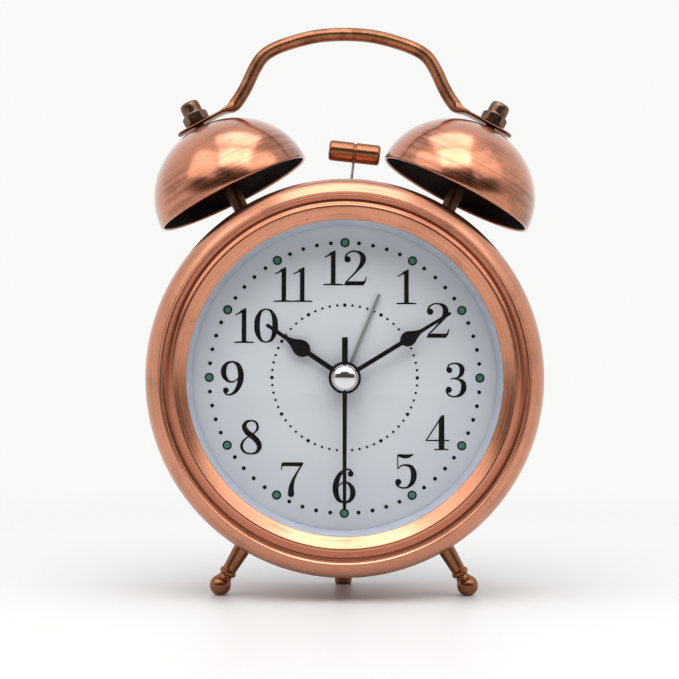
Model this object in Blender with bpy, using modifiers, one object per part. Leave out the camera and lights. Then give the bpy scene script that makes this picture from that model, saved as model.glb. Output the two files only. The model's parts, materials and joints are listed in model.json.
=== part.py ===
"""Twin-bell alarm clock with a quartz movement, modelled as separate pieces.

Sizes are in millimetres and are turned into metres where a mesh is made.
The dial faces -Y, +Z is up, and the origin is on the floor under the middle
of the clock. A place on the dial is given as (x, z) from the dial's axis.
"""

import math

import bmesh
import bpy
from mathutils import Matrix, Vector

MM = 0.001
TAU = 2 * math.pi
GAP = 0.3                      # left between pieces that touch
CASE_STEPS = 48                # facets round the case, the bezel and the rear cover
DISC_STEPS = 36                # facets round the lens, the dial and its carrier

# Case: a drum with a rolled front rim, closed by a bezel and a rear cover.
DRUM_RADIUS = 54.6
DRUM_WALL = 1.0
DRUM_INNER = DRUM_RADIUS - DRUM_WALL
RIM_FRONT = -28.4
RIM_ROUTE = ((54.2, RIM_FRONT), (56.2, -26.8), (57.7, -25.0), (58.6, -22.8),   # radius and depth
             (58.0, -20.6), (56.6, -19.0), (DRUM_RADIUS, -18.4))
DRUM_BACK = 21.4
REAR_LIP_RADIUS = 51.4
BEZEL_FRONT = -28.6
BEZEL_LIP_RADIUS = 46.2
LENS_FRONT = -26.0
LENS_BACK = -24.6
DIAL_FRONT = -15.0
DIAL_BACK = -14.4
FRAME_FRONT = -14.1
FRAME_BACK = -12.6
HOUSING_HALF_WIDTH = 29.0
HOUSING_TOP = 16.4
HOUSING_BOTTOM = -21.6
HOUSING_BACK = -1.4
COVER_FRONT = 19.4
COVER_BACK = 21.2

# Feet and height: the flat under each foot's ball stands on the floor.
FOOT_ANGLE = math.radians(30.8)
FOOT_REACH = 72.8
FOOT_BALL = 3.2
FOOT_FLAT = 3.0                # from the ball's centre down to its flat
FOOT_Y = -9.0
REAR_FOOT_Y = 16.8
REAR_FOOT_RADIUS = 2.4         # at the floor
AXIS_HEIGHT = FOOT_REACH * math.cos(FOOT_ANGLE) + FOOT_FLAT

# Bells, their posts and the handle, along each bell's own tilted axis.
BELL_TILT = math.radians(27.0)
BELL_RADIUS = 24.8
BELL_HEIGHT = 22.8
BELL_WALL = 0.9
BELL_RIM = (34.3, 56.8)        # centre of the right bell's rim
POST_RADIUS = 2.3
STUD_RADIUS = 1.5
STUD_HOLE = 1.85
POST_SHOULDER = -11.2
TAB_LENGTH = 16.4
TAB_WIDTH = 7.4
TAB_THICKNESS = 1.0
HANDLE_WIRE = 2.05
HANDLE_ROUTE = ((0, 106.2), (8, 105.7), (15, 104.1), (21.5, 101.8), (25.4, 99.2),
                (28.0, 95.3), (31.2, 88.6), (34.4, 83.9))

# Hands and the pipes that carry them, from the dial outwards.
HOUR_ANGLE = 304.0             # all clockwise from twelve, in degrees
MINUTE_ANGLE = 58.4
SECOND_ANGLE = 180.0
ALARM_ANGLE = 22.4
HAND_THICKNESS = 0.4
ALARM_HAND_Y = -15.8
HOUR_HAND_Y = -17.0
MINUTE_HAND_Y = -18.4
SECOND_HAND_Y = -20.0
CAP_BACK = -20.5
CAP_FRONT = -23.0
CAP_RADIUS = 4.1
BOSS_RADIUS = 4.8

# Gear train. Both stages of the motion work have the same centre distance.
MODULE = 0.6
MOTION_DISTANCE = 12.0
CANNON_TEETH = 10
MOTION_TEETH = 30
MOTION_PINION_TEETH = 8
HOUR_TEETH = 32
ALARM_TEETH = 30
KNOB_TEETH = 10
MOTION_DIRECTION = math.radians(160.0)
TIME_KNOB_DIRECTION = math.radians(170.0)
ALARM_KNOB_DIRECTION = math.radians(16.0)
SECOND_MODULE = 0.3
SECOND_TEETH = 40
MIDDLE_PINION_TEETH = 8
ROTOR_MODULE = 0.25
MIDDLE_TEETH = 36
ROTOR_TEETH = 6
CRANK_MODULE = 0.5
CRANK_TEETH = 36
MOTOR_TEETH = 9

# Striking work: a motor turns a crank that swings the hammer's lever.
HAMMER_PIVOT = (0.0, 42.4)
HAMMER_LENGTH = 27.2
HAMMER_LEAN = math.radians(6.3)
HAMMER_HEAD_LENGTH = 15.8
HAMMER_HEAD_RADIUS = 3.15
CRANK_CENTRE = (0.0, 28.4)
CRANK_THROW = 1.9
BRACKET_POSTS = ((13.0, 39.0), (-15.0, 41.0))

# Rear controls, where they come through the rear cover.
KNOB_RADIUS = 5.5
KNOB_FRONT = 22.4
KNOB_BACK = 30.0
SWITCH_CENTRE = (28.0, 22.0)
SWITCH_TRAVEL = 4.0
SLOT_HALF_HEIGHT = 2.2
BUTTON_CENTRE = (0.0, 38.0)
BUTTON_RADIUS = 4.0
POST_CIRCLE = 46.0
POST_ANGLES = (math.radians(15.0), math.radians(165.0), math.radians(270.0))
SCREW_RADIUS = 1.15
SCREW_HEAD = 2.6
BATTERY_HEIGHTS = (-17.6, -33.0)
BATTERY_RADIUS = 7.15
BATTERY_Y = 11.6
TRAY_HALF_WIDTH = 28.2
TRAY_TOP = -9.8
TRAY_BOTTOM = -40.8

# Finishes: linear colour, metallic, roughness.
COPPER = ((0.60, 0.27, 0.15), 1.0, 0.34)
DARK_COPPER = ((0.20, 0.085, 0.045), 1.0, 0.42)
STEEL = ((0.55, 0.55, 0.56), 1.0, 0.35)
CHROME = ((0.80, 0.80, 0.82), 1.0, 0.08)
BRASS = ((0.62, 0.45, 0.18), 1.0, 0.35)
MAGNET = ((0.12, 0.12, 0.13), 1.0, 0.50)
GLASS = ((0.90, 0.95, 0.95), 0.0, 0.03)
WHITE_PLASTIC = ((0.80, 0.82, 0.84), 0.0, 0.45)
CLEAR_PLASTIC = ((0.75, 0.80, 0.85), 0.0, 0.30)
DIAL_PAPER = ((0.62, 0.68, 0.74), 0.0, 0.60)
BLACK_PLASTIC = ((0.02, 0.02, 0.022), 0.0, 0.48)
BLACK_ENAMEL = ((0.01, 0.01, 0.01), 0.0, 0.30)
GREY_ENAMEL = ((0.33, 0.34, 0.35), 0.0, 0.35)
BOARD_GREEN = ((0.02, 0.18, 0.07), 0.0, 0.50)
COIL_COPPER = ((0.55, 0.20, 0.08), 1.0, 0.40)
CELL_WRAP = ((0.05, 0.12, 0.10), 0.0, 0.35)


def start_collections():
    """Remove the scene's objects and make the collection that holds the parts."""
    for old in list(bpy.data.objects):
        bpy.data.objects.remove(old, do_unlink=True)
    parts = bpy.data.collections.new("alarm_clock")
    bpy.context.scene.collection.children.link(parts)
    return parts


PARTS = start_collections()


def on_dial(x, z, y=0.0):
    """World position, in metres, of a place given from the dial's axis."""
    return Vector((x, y, z + AXIS_HEIGHT)) * MM


def polar(radius, angle, centre=(0.0, 0.0)):
    """Place at an angle measured anticlockwise from +X, as seen from the front."""
    return (centre[0] + radius * math.cos(angle), centre[1] + radius * math.sin(angle))


def finish(piece, name, look):
    """Name a piece and give it a material of its own."""
    colour, metallic, roughness = look
    piece.name = name
    material = bpy.data.materials.new(name + "_finish")
    material.use_nodes = True
    shader = material.node_tree.nodes["Principled BSDF"]
    shader.inputs["Base Color"].default_value = (*colour, 1.0)
    shader.inputs["Metallic"].default_value = metallic
    shader.inputs["Roughness"].default_value = roughness
    piece.data.materials.clear()
    piece.data.materials.append(material)
    return piece


def add_object(data, location=(0, 0, 0), rotation=(0, 0, 0)):
    piece = bpy.data.objects.new("piece", data)
    piece.location = location
    piece.rotation_euler = rotation
    PARTS.objects.link(piece)
    return piece


def freeze(piece):
    """Turn a curve, or a mesh with modifiers, into a plain mesh with welded caps."""
    bpy.context.view_layer.update()
    evaluated = piece.evaluated_get(bpy.context.evaluated_depsgraph_get())
    mesh = bpy.data.meshes.new_from_object(evaluated)
    cage = bmesh.new()
    cage.from_mesh(mesh)
    bmesh.ops.remove_doubles(cage, verts=cage.verts, dist=1e-7)
    cage.to_mesh(mesh)
    cage.free()
    solid = add_object(mesh)
    solid.matrix_world = piece.matrix_world.copy()
    bpy.data.objects.remove(piece, do_unlink=True)
    return solid


def combine(body, tools, operation):
    """Join tools to a body, or cut them from it, and remove the tools."""
    for tool in tools:
        boolean = body.modifiers.new(operation, "BOOLEAN")
        boolean.operation = operation
        boolean.solver = "EXACT"
        boolean.object = tool
    solid = freeze(body)
    for tool in tools:
        bpy.data.objects.remove(tool, do_unlink=True)
    return solid


def smooth(piece, angle=40.0):
    piece.data.shade_smooth()
    piece.data.set_sharp_from_angle(angle=math.radians(angle))
    return piece


def turned(profile, location, rotation, steps=32, ring=False):
    """Turn a profile of (radius, height) about local Z, outer side top to bottom."""
    mesh = bpy.data.meshes.new("profile")
    points = [(radius * MM, 0.0, height * MM) for radius, height in profile]
    edges = [(index, index + 1) for index in range(len(points) - 1)]
    if ring:
        edges.append((len(points) - 1, 0))
    mesh.from_pydata(points, edges, [])
    piece = add_object(mesh, location, rotation)
    screw = piece.modifiers.new("turn", "SCREW")
    screw.axis = "Z"
    screw.steps = steps
    screw.render_steps = steps
    screw.use_merge_vertices = True
    screw.merge_threshold = 1e-6
    return smooth(freeze(piece))


FACING = (math.pi / 2, 0.0, 0.0)     # local Z to the front, local XY to the dial's x and z


def turned_on_dial(profile, place=(0.0, 0.0), steps=32, ring=False):
    """Turn a profile of (radius, y) about an axis that runs front to back."""
    heights = [(radius, -y) for radius, y in profile]
    return turned(heights, on_dial(*place), FACING, steps, ring)


def arc(centre, radius, start, end, count):
    """Points along an arc, for a profile or an outline; angles in degrees."""
    angles = [math.radians(start + (end - start) * step / (count - 1)) for step in range(count)]
    return [polar(radius, angle, centre) for angle in angles]


def circle(radius, centre=(0.0, 0.0), count=24):
    return [polar(radius, TAU * step / count, centre) for step in range(count)]


def rounded_box(low, high, radius, count=4):
    """Outline of a rectangle with rounded corners."""
    corners = (((high[0] - radius, high[1] - radius), 0), ((low[0] + radius, high[1] - radius), 90),
               ((low[0] + radius, low[1] + radius), 180), ((high[0] - radius, low[1] + radius), 270))
    return [point for centre, start in corners for point in arc(centre, radius, start, start + 90, count)]


def flat_piece(outlines, thickness, location, rotation=FACING):
    """A flat outline with any holes, as a solid half its thickness each side of its place."""
    curve = bpy.data.curves.new("outline", "CURVE")
    curve.dimensions = "2D"
    curve.fill_mode = "BOTH"
    curve.extrude = thickness / 2 * MM
    for outline in outlines:
        spline = curve.splines.new("POLY")
        spline.points.add(len(outline) - 1)
        for point, (x, z) in zip(spline.points, outline):
            point.co = (x * MM, z * MM, 0.0, 1.0)
        spline.use_cyclic_u = True
    return freeze(add_object(curve, location, rotation))


def plate(outlines, front, back, place=(0.0, 0.0)):
    """A flat piece facing the front, between two depths."""
    return flat_piece(outlines, back - front, on_dial(*place, (front + back) / 2))


def block(low, high):
    """A box between two corners given as (x, y, z from the dial's axis)."""
    mesh = bpy.data.meshes.new("block")
    cage = bmesh.new()
    size = [(top - bottom) * MM for bottom, top in zip(low, high)]
    bmesh.ops.create_cube(cage, size=1.0, matrix=Matrix.Diagonal((*size, 1.0)))
    cage.to_mesh(mesh)
    cage.free()
    middle = [(bottom + top) / 2 for bottom, top in zip(low, high)]
    return add_object(mesh, on_dial(middle[0], middle[2], middle[1]))


def rod(radius, front, back, place=(0.0, 0.0), steps=16):
    """A plain round rod that runs front to back."""
    return turned_on_dial(((0, front), (radius, front), (radius, back), (0, back)), place, steps)


def pipe(inner, outer, front, back, place=(0.0, 0.0), steps=16):
    """A plain tube that runs front to back."""
    profile = ((inner, front), (outer, front), (outer, back), (inner, back))
    return turned_on_dial(profile, place, steps, ring=True)


def open_box(low, high, wall, floor, opens_to_back):
    """A box with one open side, to the back or to the front."""
    outer = block(low, high)
    inside_low = [low[0] + wall, low[1] - 1.0, low[2] + wall]
    inside_high = [high[0] - wall, high[1] + 1.0, high[2] - wall]
    if opens_to_back:
        inside_low[1] = low[1] + floor
    else:
        inside_high[1] = high[1] - floor
    return combine(outer, [block(inside_low, inside_high)], "DIFFERENCE")


def gear_outline(teeth, module, phase):
    """Straight-flanked teeth, thin enough to run without touching."""
    pitch_radius = teeth * module / 2
    root = pitch_radius - 1.1 * module
    tip = pitch_radius + 0.8 * module
    flank = ((-0.27, root), (-0.10, tip), (0.10, tip), (0.27, root))
    return [polar(radius, phase + (tooth + offset) * TAU / teeth)
            for tooth in range(teeth) for offset, radius in flank]


def meshing_phase(teeth, other_teeth, other_phase, direction):
    """Phase that puts a gear's teeth in another's gaps; direction runs from the other to it."""
    pitches = (direction - other_phase) * other_teeth / TAU
    return direction + math.pi - (0.5 - pitches) * TAU / teeth


def gear(teeth, module, phase, front, back, place, hole=0.0):
    outlines = [gear_outline(teeth, module, phase)]
    if hole:
        outlines.append(circle(hole, count=14))
    return plate(outlines, front, back, place)


def moving_axis(name, place, y=0.0):
    """An empty on a joint's axis, which carries the pieces that move with it."""
    axis = bpy.data.objects.new(name, None)
    axis.empty_display_size = 5 * MM
    axis.location = on_dial(*place, y)
    PARTS.objects.link(axis)
    return axis


def carry(axis, *pieces):
    """Parent pieces to an axis without moving them."""
    for piece in pieces:
        piece.parent = axis
        piece.matrix_parent_inverse = Matrix.Translation(axis.location).inverted()


# ---------------------------------------------------------------- case

def make_case_drum():
    """Drum with a rolled front rim, a turned-in back edge, stud holes and the hammer's slot."""
    profile = [(DRUM_INNER, RIM_FRONT + 1.4)] + list(RIM_ROUTE)
    profile += [(DRUM_RADIUS, DRUM_BACK - 2.4), (DRUM_RADIUS - 0.9, DRUM_BACK - 0.5),
                (DRUM_RADIUS - 2.4, DRUM_BACK), (REAR_LIP_RADIUS, DRUM_BACK),
                (REAR_LIP_RADIUS, DRUM_BACK - 1.0), (DRUM_RADIUS - 2.4, DRUM_BACK - 1.0),
                (DRUM_INNER, DRUM_BACK - 2.2)]
    drum = turned_on_dial(profile, steps=CASE_STEPS, ring=True)
    slot = block((-3.2, -1.8, DRUM_INNER - 4.0), (3.2, 1.8, DRUM_RADIUS + 4.0))
    cutters = [slot]
    for side in (-1, 1):
        centre = bell_point(side, 0.0)
        cutters.append(turned(((0, 0), (STUD_HOLE, 0), (STUD_HOLE, -20), (0, -20)),
                              centre, (0.0, side * BELL_TILT, 0.0), 16))
        cutters.append(turned(((0, 60), (STUD_HOLE, 60), (STUD_HOLE, 45), (0, 45)),
                              on_dial(0, 0, FOOT_Y), (0.0, math.pi - side * FOOT_ANGLE, 0.0), 16))
    cutters.append(turned(((0, -45), (STUD_HOLE, -45), (STUD_HOLE, -60), (0, -60)),
                          on_dial(0, 0, REAR_FOOT_Y), (0.0, 0.0, 0.0), 16))
    return finish(smooth(combine(drum, cutters, "DIFFERENCE")), "case_drum", COPPER)


def make_bezel():
    """Ring with an inner slope and a shallow outer cove, and the lens's seat behind them."""
    outer = DRUM_INNER - GAP
    profile = [(BEZEL_LIP_RADIUS, LENS_FRONT - 0.9), (50.0, BEZEL_FRONT), (50.5, BEZEL_FRONT + 0.1),
               (51.2, BEZEL_FRONT + 0.7), (52.3, BEZEL_FRONT + 0.8), (outer - 0.3, BEZEL_FRONT + 0.2),
               (outer, BEZEL_FRONT + 0.5)]
    profile += [(outer, LENS_BACK + 2.0), (47.9, LENS_BACK + 2.0), (47.9, LENS_FRONT - GAP),
                (BEZEL_LIP_RADIUS, LENS_FRONT - GAP)]
    return finish(turned_on_dial(profile, steps=CASE_STEPS, ring=True), "bezel_ring", COPPER)


def make_lens_and_dial():
    lens_edge = ((0, LENS_FRONT), (47.6, LENS_FRONT), (47.6, LENS_BACK), (0, LENS_BACK))
    lens = turned_on_dial(lens_edge, steps=DISC_STEPS)
    finish(lens, "lens", GLASS)
    spacer_front = LENS_BACK + GAP
    spacer_back = DIAL_FRONT - GAP
    spacer = turned_on_dial(((46.2, spacer_front), (47.4, spacer_front), (47.4, spacer_back - 1.2),
                             (DRUM_INNER - 0.4, spacer_back - 1.2), (DRUM_INNER - 0.4, spacer_back),
                             (45.4, spacer_back)), steps=DISC_STEPS, ring=True)
    finish(spacer, "dial_spacer_ring", WHITE_PLASTIC)
    dial = plate([circle(52.6, count=DISC_STEPS), circle(4.2, count=16)], DIAL_FRONT, DIAL_BACK)
    finish(dial, "dial_plate", DIAL_PAPER)


def screw_places():
    return [polar(POST_CIRCLE, angle) for angle in POST_ANGLES]


def make_rear_cover():
    """Flat cover with openings for the knobs, switch, button, screws and batteries."""
    switch_x, switch_z = SWITCH_CENTRE
    slot_half = SWITCH_TRAVEL / 2 + 2.9
    holes = [circle(1.8, place, 16) for place in (time_knob_place(), alarm_knob_place())]
    holes += [circle(1.6, place, 12) for place in screw_places()]
    holes.append(circle(BUTTON_RADIUS + GAP, BUTTON_CENTRE, 24))
    holes.append(rounded_box((switch_x - slot_half, switch_z - SLOT_HALF_HEIGHT),
                             (switch_x + slot_half, switch_z + SLOT_HALF_HEIGHT), 0.6, 3))
    holes.append(rounded_box((-27.7, TRAY_BOTTOM - 0.1), (27.7, TRAY_TOP + 0.1), 2.0))
    cover = plate([circle(REAR_LIP_RADIUS - GAP, count=CASE_STEPS)] + holes, COVER_FRONT, COVER_BACK)
    finish(cover, "rear_cover", BLACK_PLASTIC)
    for number, place in enumerate(screw_places(), start=1):
        head = COVER_BACK + GAP
        profile = ((0, COVER_FRONT - 6.0), (SCREW_RADIUS, COVER_FRONT - 6.0), (SCREW_RADIUS, head),
                   (SCREW_HEAD, head), (SCREW_HEAD, head + 0.6), (0.65 * SCREW_HEAD, head + 1.4),
                   (0, head + 1.5))
        finish(turned_on_dial(profile, place, 14), f"rear_screw_{number}", STEEL)


# ---------------------------------------------------------------- bells, handle and feet

def bell_point(side, along, across=0.0):
    """A point on a bell's axis, from its rim centre outwards, and across towards the outside."""
    x = BELL_RIM[0] + along * math.sin(BELL_TILT) + across * math.cos(BELL_TILT)
    z = BELL_RIM[1] + along * math.cos(BELL_TILT) - across * math.sin(BELL_TILT)
    return on_dial(side * x, z)


def bell_profile(radius, height, bore, count=7):
    """Half an ellipse from the bore at the top down to the rim."""
    top = math.asin(bore / radius)
    angles = [top + (math.pi / 2 - top) * step / (count - 1) for step in range(count)]
    return [(radius * math.sin(angle), height * math.cos(angle)) for angle in angles]


def hexagon(across_flats):
    return circle(across_flats / math.sqrt(3), count=6)


def make_nut(side, name, low, high, across_flats, bore_depth, domed):
    """Hexagon nut on a bell's axis, closed by a dome when it is an acorn nut."""
    tilt = (0.0, side * BELL_TILT, 0.0)
    nut = flat_piece([hexagon(across_flats)], high - low, bell_point(side, (low + high) / 2), tilt)
    if domed:
        top = [(3.1 * math.sin(angle), high + 4.0 * math.cos(angle))
               for angle in (math.pi / 2 * step / 4 for step in range(5))]
        cap = turned(top + [(3.1, high - 1), (0, high - 1)], bell_point(side, 0), tilt, 16)
        nut = combine(nut, [cap], "UNION")
    bore = turned(((0, low + bore_depth), (STUD_HOLE, low + bore_depth), (STUD_HOLE, low - 1), (0, low - 1)),
                  bell_point(side, 0), tilt, 12)
    return finish(smooth(combine(nut, [bore], "DIFFERENCE"), 30), name, DARK_COPPER)


def make_bell_set(side, name):
    """One bell with its post, the nut inside the case and the acorn nut on top."""
    tilt = (0.0, side * BELL_TILT, 0.0)
    outside = bell_profile(BELL_RADIUS, BELL_HEIGHT, STUD_HOLE)
    inside = bell_profile(BELL_RADIUS - BELL_WALL, BELL_HEIGHT - BELL_WALL, STUD_HOLE)
    bell = turned(outside + inside[::-1], bell_point(side, 0), tilt, 28, ring=True)
    finish(bell, f"bell_{name}", COPPER)
    under_bell = BELL_HEIGHT - BELL_WALL - 0.5
    stud_top = BELL_HEIGHT + TAB_THICKNESS + 3.4
    post_profile = ((0, stud_top), (STUD_RADIUS, stud_top), (STUD_RADIUS, under_bell), (POST_RADIUS, under_bell),
                    (POST_RADIUS, POST_SHOULDER), (STUD_RADIUS, POST_SHOULDER), (STUD_RADIUS, -16.4), (0, -16.4))
    post = turned(post_profile, bell_point(side, 0), tilt, 16)
    finish(post, f"bell_post_{name}", DARK_COPPER)
    tab_top = BELL_HEIGHT + GAP + TAB_THICKNESS
    make_nut(side, f"acorn_nut_{name}", tab_top + GAP, tab_top + GAP + 3.0, 7.0, 3.2, True)
    make_nut(side, f"post_nut_{name}", -16.0, -13.7, 6.0, 4.0, False)


def make_handle():
    """Round bar bent into a carrying handle, flattened to a tab over each bell."""
    tab_along = BELL_HEIGHT + GAP + TAB_THICKNESS / 2
    bar_end = bell_point(1, tab_along + 0.8, -TAB_LENGTH / 2 - 0.2)
    half = [on_dial(x, z) for x, z in HANDLE_ROUTE] + [bar_end]
    route = [Vector((-point.x, point.y, point.z)) for point in half[:0:-1]] + half
    curve = bpy.data.curves.new("bar", "CURVE")
    curve.dimensions = "3D"
    curve.bevel_depth = HANDLE_WIRE * MM
    curve.bevel_resolution = 2
    curve.resolution_u = 2
    curve.render_resolution_u = 0
    curve.use_fill_caps = True
    spline = curve.splines.new("BEZIER")
    spline.bezier_points.add(len(route) - 1)
    for point, place in zip(spline.bezier_points, route):
        point.co = place
        point.handle_left_type = "AUTO"
        point.handle_right_type = "AUTO"
    bar = freeze(add_object(curve))
    tabs = []
    for side in (-1, 1):
        outline = rounded_box((-TAB_LENGTH / 2, -TAB_WIDTH / 2), (TAB_LENGTH / 2, TAB_WIDTH / 2), 2.6)
        hole = circle(STUD_HOLE, (side * 1.0, 0.0), 16)
        tilt = (0.0, side * BELL_TILT, 0.0)
        tabs.append(flat_piece([outline, hole], TAB_THICKNESS, bell_point(side, tab_along, -1.0), tilt))
    return finish(smooth(combine(bar, tabs, "UNION")), "handle", DARK_COPPER)


def make_feet():
    """Turned front feet with a ball end, and the small plain foot behind them."""
    top = DRUM_RADIUS + GAP
    ball = arc((0.0, FOOT_REACH), FOOT_BALL, 318, 450, 7)
    profile = [(0, 53.0), (STUD_RADIUS, 53.0), (STUD_RADIUS, top), (3.2, top), (3.2, top + 1.5),
               (2.75, top + 2.2), (2.1, FOOT_REACH - 5.4), (2.6, FOOT_REACH - 4.9), (2.6, FOOT_REACH - 4.1),
               (1.8, FOOT_REACH - 3.4)] + ball[:-1] + [(0, FOOT_REACH + FOOT_BALL)]
    for side, name in ((-1, "left"), (1, "right")):
        foot = turned([(radius, -reach) for radius, reach in profile], on_dial(0, 0, FOOT_Y),
                      (0.0, -side * FOOT_ANGLE, 0.0), 16)
        below_floor = block((-60, -30, -AXIS_HEIGHT - 10), (60, 30, -AXIS_HEIGHT))
        finish(smooth(combine(foot, [below_floor], "DIFFERENCE")), f"foot_{name}", DARK_COPPER)
    drum_bottom = AXIS_HEIGHT - DRUM_RADIUS - GAP
    rear = turned(((0, drum_bottom + 3.0), (STUD_RADIUS, drum_bottom + 3.0), (STUD_RADIUS, drum_bottom),
                   (REAR_FOOT_RADIUS + 0.5, drum_bottom), (REAR_FOOT_RADIUS + 0.3, 0.6), (REAR_FOOT_RADIUS, 0),
                   (0, 0)),
                  Vector((0, REAR_FOOT_Y, 0)) * MM, (0, 0, 0), 16)
    finish(rear, "rear_foot", DARK_COPPER)


# ---------------------------------------------------------------- movement

def motion_place():
    return polar(MOTION_DISTANCE, MOTION_DIRECTION)


def time_knob_place():
    return polar(MOTION_DISTANCE, TIME_KNOB_DIRECTION, motion_place())


def alarm_knob_place():
    return polar(MOTION_DISTANCE, ALARM_KNOB_DIRECTION)


def middle_place():
    distance = (SECOND_TEETH + MIDDLE_PINION_TEETH) * SECOND_MODULE / 2
    return (0.0, -distance)


def rotor_place():
    distance = (MIDDLE_TEETH + ROTOR_TEETH) * ROTOR_MODULE / 2
    return (0.0, middle_place()[1] - distance)


def motor_place():
    distance = (CRANK_TEETH + MOTOR_TEETH) * CRANK_MODULE / 2
    return (CRANK_CENTRE[0] - distance, CRANK_CENTRE[1])


def make_movement_body():
    """Carrier disc with its posts, the gear housing, the board and the stepping motor's still pieces."""
    disc = plate([circle(52.8, count=DISC_STEPS), circle(3.9, count=16)], FRAME_FRONT, FRAME_BACK)
    posts = [rod(3.0, FRAME_BACK - 1.0, COVER_FRONT - GAP, place, 12) for place in screw_places()]
    posts += [rod(1.8, FRAME_BACK - 1.0, 4.7, place, 12) for place in BRACKET_POSTS]
    frame = combine(disc, posts, "UNION")
    screw_bores = [rod(1.45, COVER_FRONT - 7.0, COVER_FRONT + 2.0, place, 12) for place in screw_places()]
    finish(smooth(combine(frame, screw_bores, "DIFFERENCE")), "movement_frame", WHITE_PLASTIC)

    housing = open_box((-HOUSING_HALF_WIDTH, FRAME_BACK + GAP, HOUSING_BOTTOM),
                       (HOUSING_HALF_WIDTH, HOUSING_BACK, HOUSING_TOP), 1.2, 1.2, False)
    shafts = [rod(1.6, -4.0, 2.0, place) for place in (time_knob_place(), alarm_knob_place())]
    finish(combine(housing, shafts, "DIFFERENCE"), "movement_housing", BLACK_PLASTIC)

    board = plate([rounded_box((17.2, -19.8), (27.2, 13.8), 0.8, 3)], -6.0, -5.0)
    finish(board, "circuit_board", BOARD_GREEN)

    rotor_z = rotor_place()[1]
    outline = [(-10, -9.2), (-10, -20), (-8.2, -20), (-8.2, -15.1), (8.2, -15.1), (8.2, -20),
               (10, -20), (10, -9.2)]
    stator = plate([outline, circle(2.5, (0, rotor_z), 20)], -6.6, -5.6)
    finish(stator, "stator", STEEL)
    reel = ((0, 7.7), (2.4, 7.7), (2.4, 6.9), (1.9, 6.9), (1.9, -6.9), (2.4, -6.9), (2.4, -7.7), (0, -7.7))
    coil = turned(reel, on_dial(0, -17.7, -6.1), (0.0, math.pi / 2, 0.0), 16)
    finish(coil, "stepper_coil", COIL_COPPER)
    led = turned_on_dial(((0, -21.6), (0.9, -21.3), (1.5, -20.4), (1.5, -17.2), (0, -17.2)), (0, 50.3), 12)
    finish(led, "dial_light", CLEAR_PLASTIC)


def make_alarm_hand_set():
    axis = moving_axis("alarm_axis", (0, 0))
    hand = make_hand(ALARM_ANGLE, [(4.2, 0.45), (26.4, 0.45)], 27.0, 2.9, 4.2, ALARM_HAND_Y)
    finish(hand, "alarm_hand", GREY_ENAMEL)
    wheel = gear(ALARM_TEETH, MODULE, 0.0, -12.1, -11.1, (0, 0), 3.15)
    tube = pipe(2.8, 3.5, ALARM_HAND_Y + 0.5, -11.0)
    wheel = finish(combine(wheel, [tube], "UNION"), "alarm_wheel", WHITE_PLASTIC)
    knob_axis = moving_axis("alarm_knob_axis", alarm_knob_place())
    phase = meshing_phase(KNOB_TEETH, ALARM_TEETH, 0.0, ALARM_KNOB_DIRECTION)
    knob = make_knob(alarm_knob_place(), phase, -12.3, -10.9, "alarm_set_knob")
    carry(axis, hand, wheel)
    carry(knob_axis, knob)


def make_knob(place, phase, pinion_front, pinion_back, name):
    """Setting knob whose shaft runs forward through the cover to a pinion."""
    shaft = turned_on_dial(((0, (pinion_front + pinion_back) / 2), (1.2, (pinion_front + pinion_back) / 2),
                            (1.2, KNOB_FRONT), (KNOB_RADIUS, KNOB_FRONT), (KNOB_RADIUS, KNOB_BACK - 0.8),
                            (KNOB_RADIUS - 0.8, KNOB_BACK), (0, KNOB_BACK)), place, 20)
    pinion = gear(KNOB_TEETH, MODULE, phase, pinion_front, pinion_back, place)
    return finish(smooth(combine(shaft, [pinion], "UNION"), 30), name, BLACK_PLASTIC)


def make_hand(angle, stations, tip, hole, boss, y):
    """A hand drawn as half widths along its length, with a round boss and a drawn-out point."""
    right = [(boss * math.cos(turn), boss * math.sin(turn))
             for turn in (math.radians(-90 + 150 * step / 9) for step in range(10))]
    start = right[-1][1]
    right += [(half, reach) for reach, half in stations if reach >= start]
    left = [(-x, z) for x, z in right[:0:-1]]
    outlines = [right + [(0.0, tip)] + left]
    if hole:
        outlines.append(circle(hole, count=20))
    turn = math.radians(-angle)
    outlines = [[(x * math.cos(turn) - z * math.sin(turn), x * math.sin(turn) + z * math.cos(turn))
                 for x, z in outline] for outline in outlines]
    return plate(outlines, y - HAND_THICKNESS / 2, y + HAND_THICKNESS / 2)


def spade(neck, bulb_at, bulb, shaft, end):
    """Stations of a pear-shaped hand: a straight shaft, a round bulb and a drawn-out point."""
    back = [(neck, shaft), (bulb_at - 1.35 * bulb, shaft)]
    swell = [(bulb_at - bulb * math.cos(turn), shaft + (bulb - shaft) * math.sin(turn) ** 1.2)
             for turn in (math.radians(angle) for angle in (25, 50, 75, 100, 125, 150))]
    return back + swell + [(bulb_at + 1.5 * bulb, 0.95 * shaft), (end - 1.0, 0.7 * shaft)]


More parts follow.
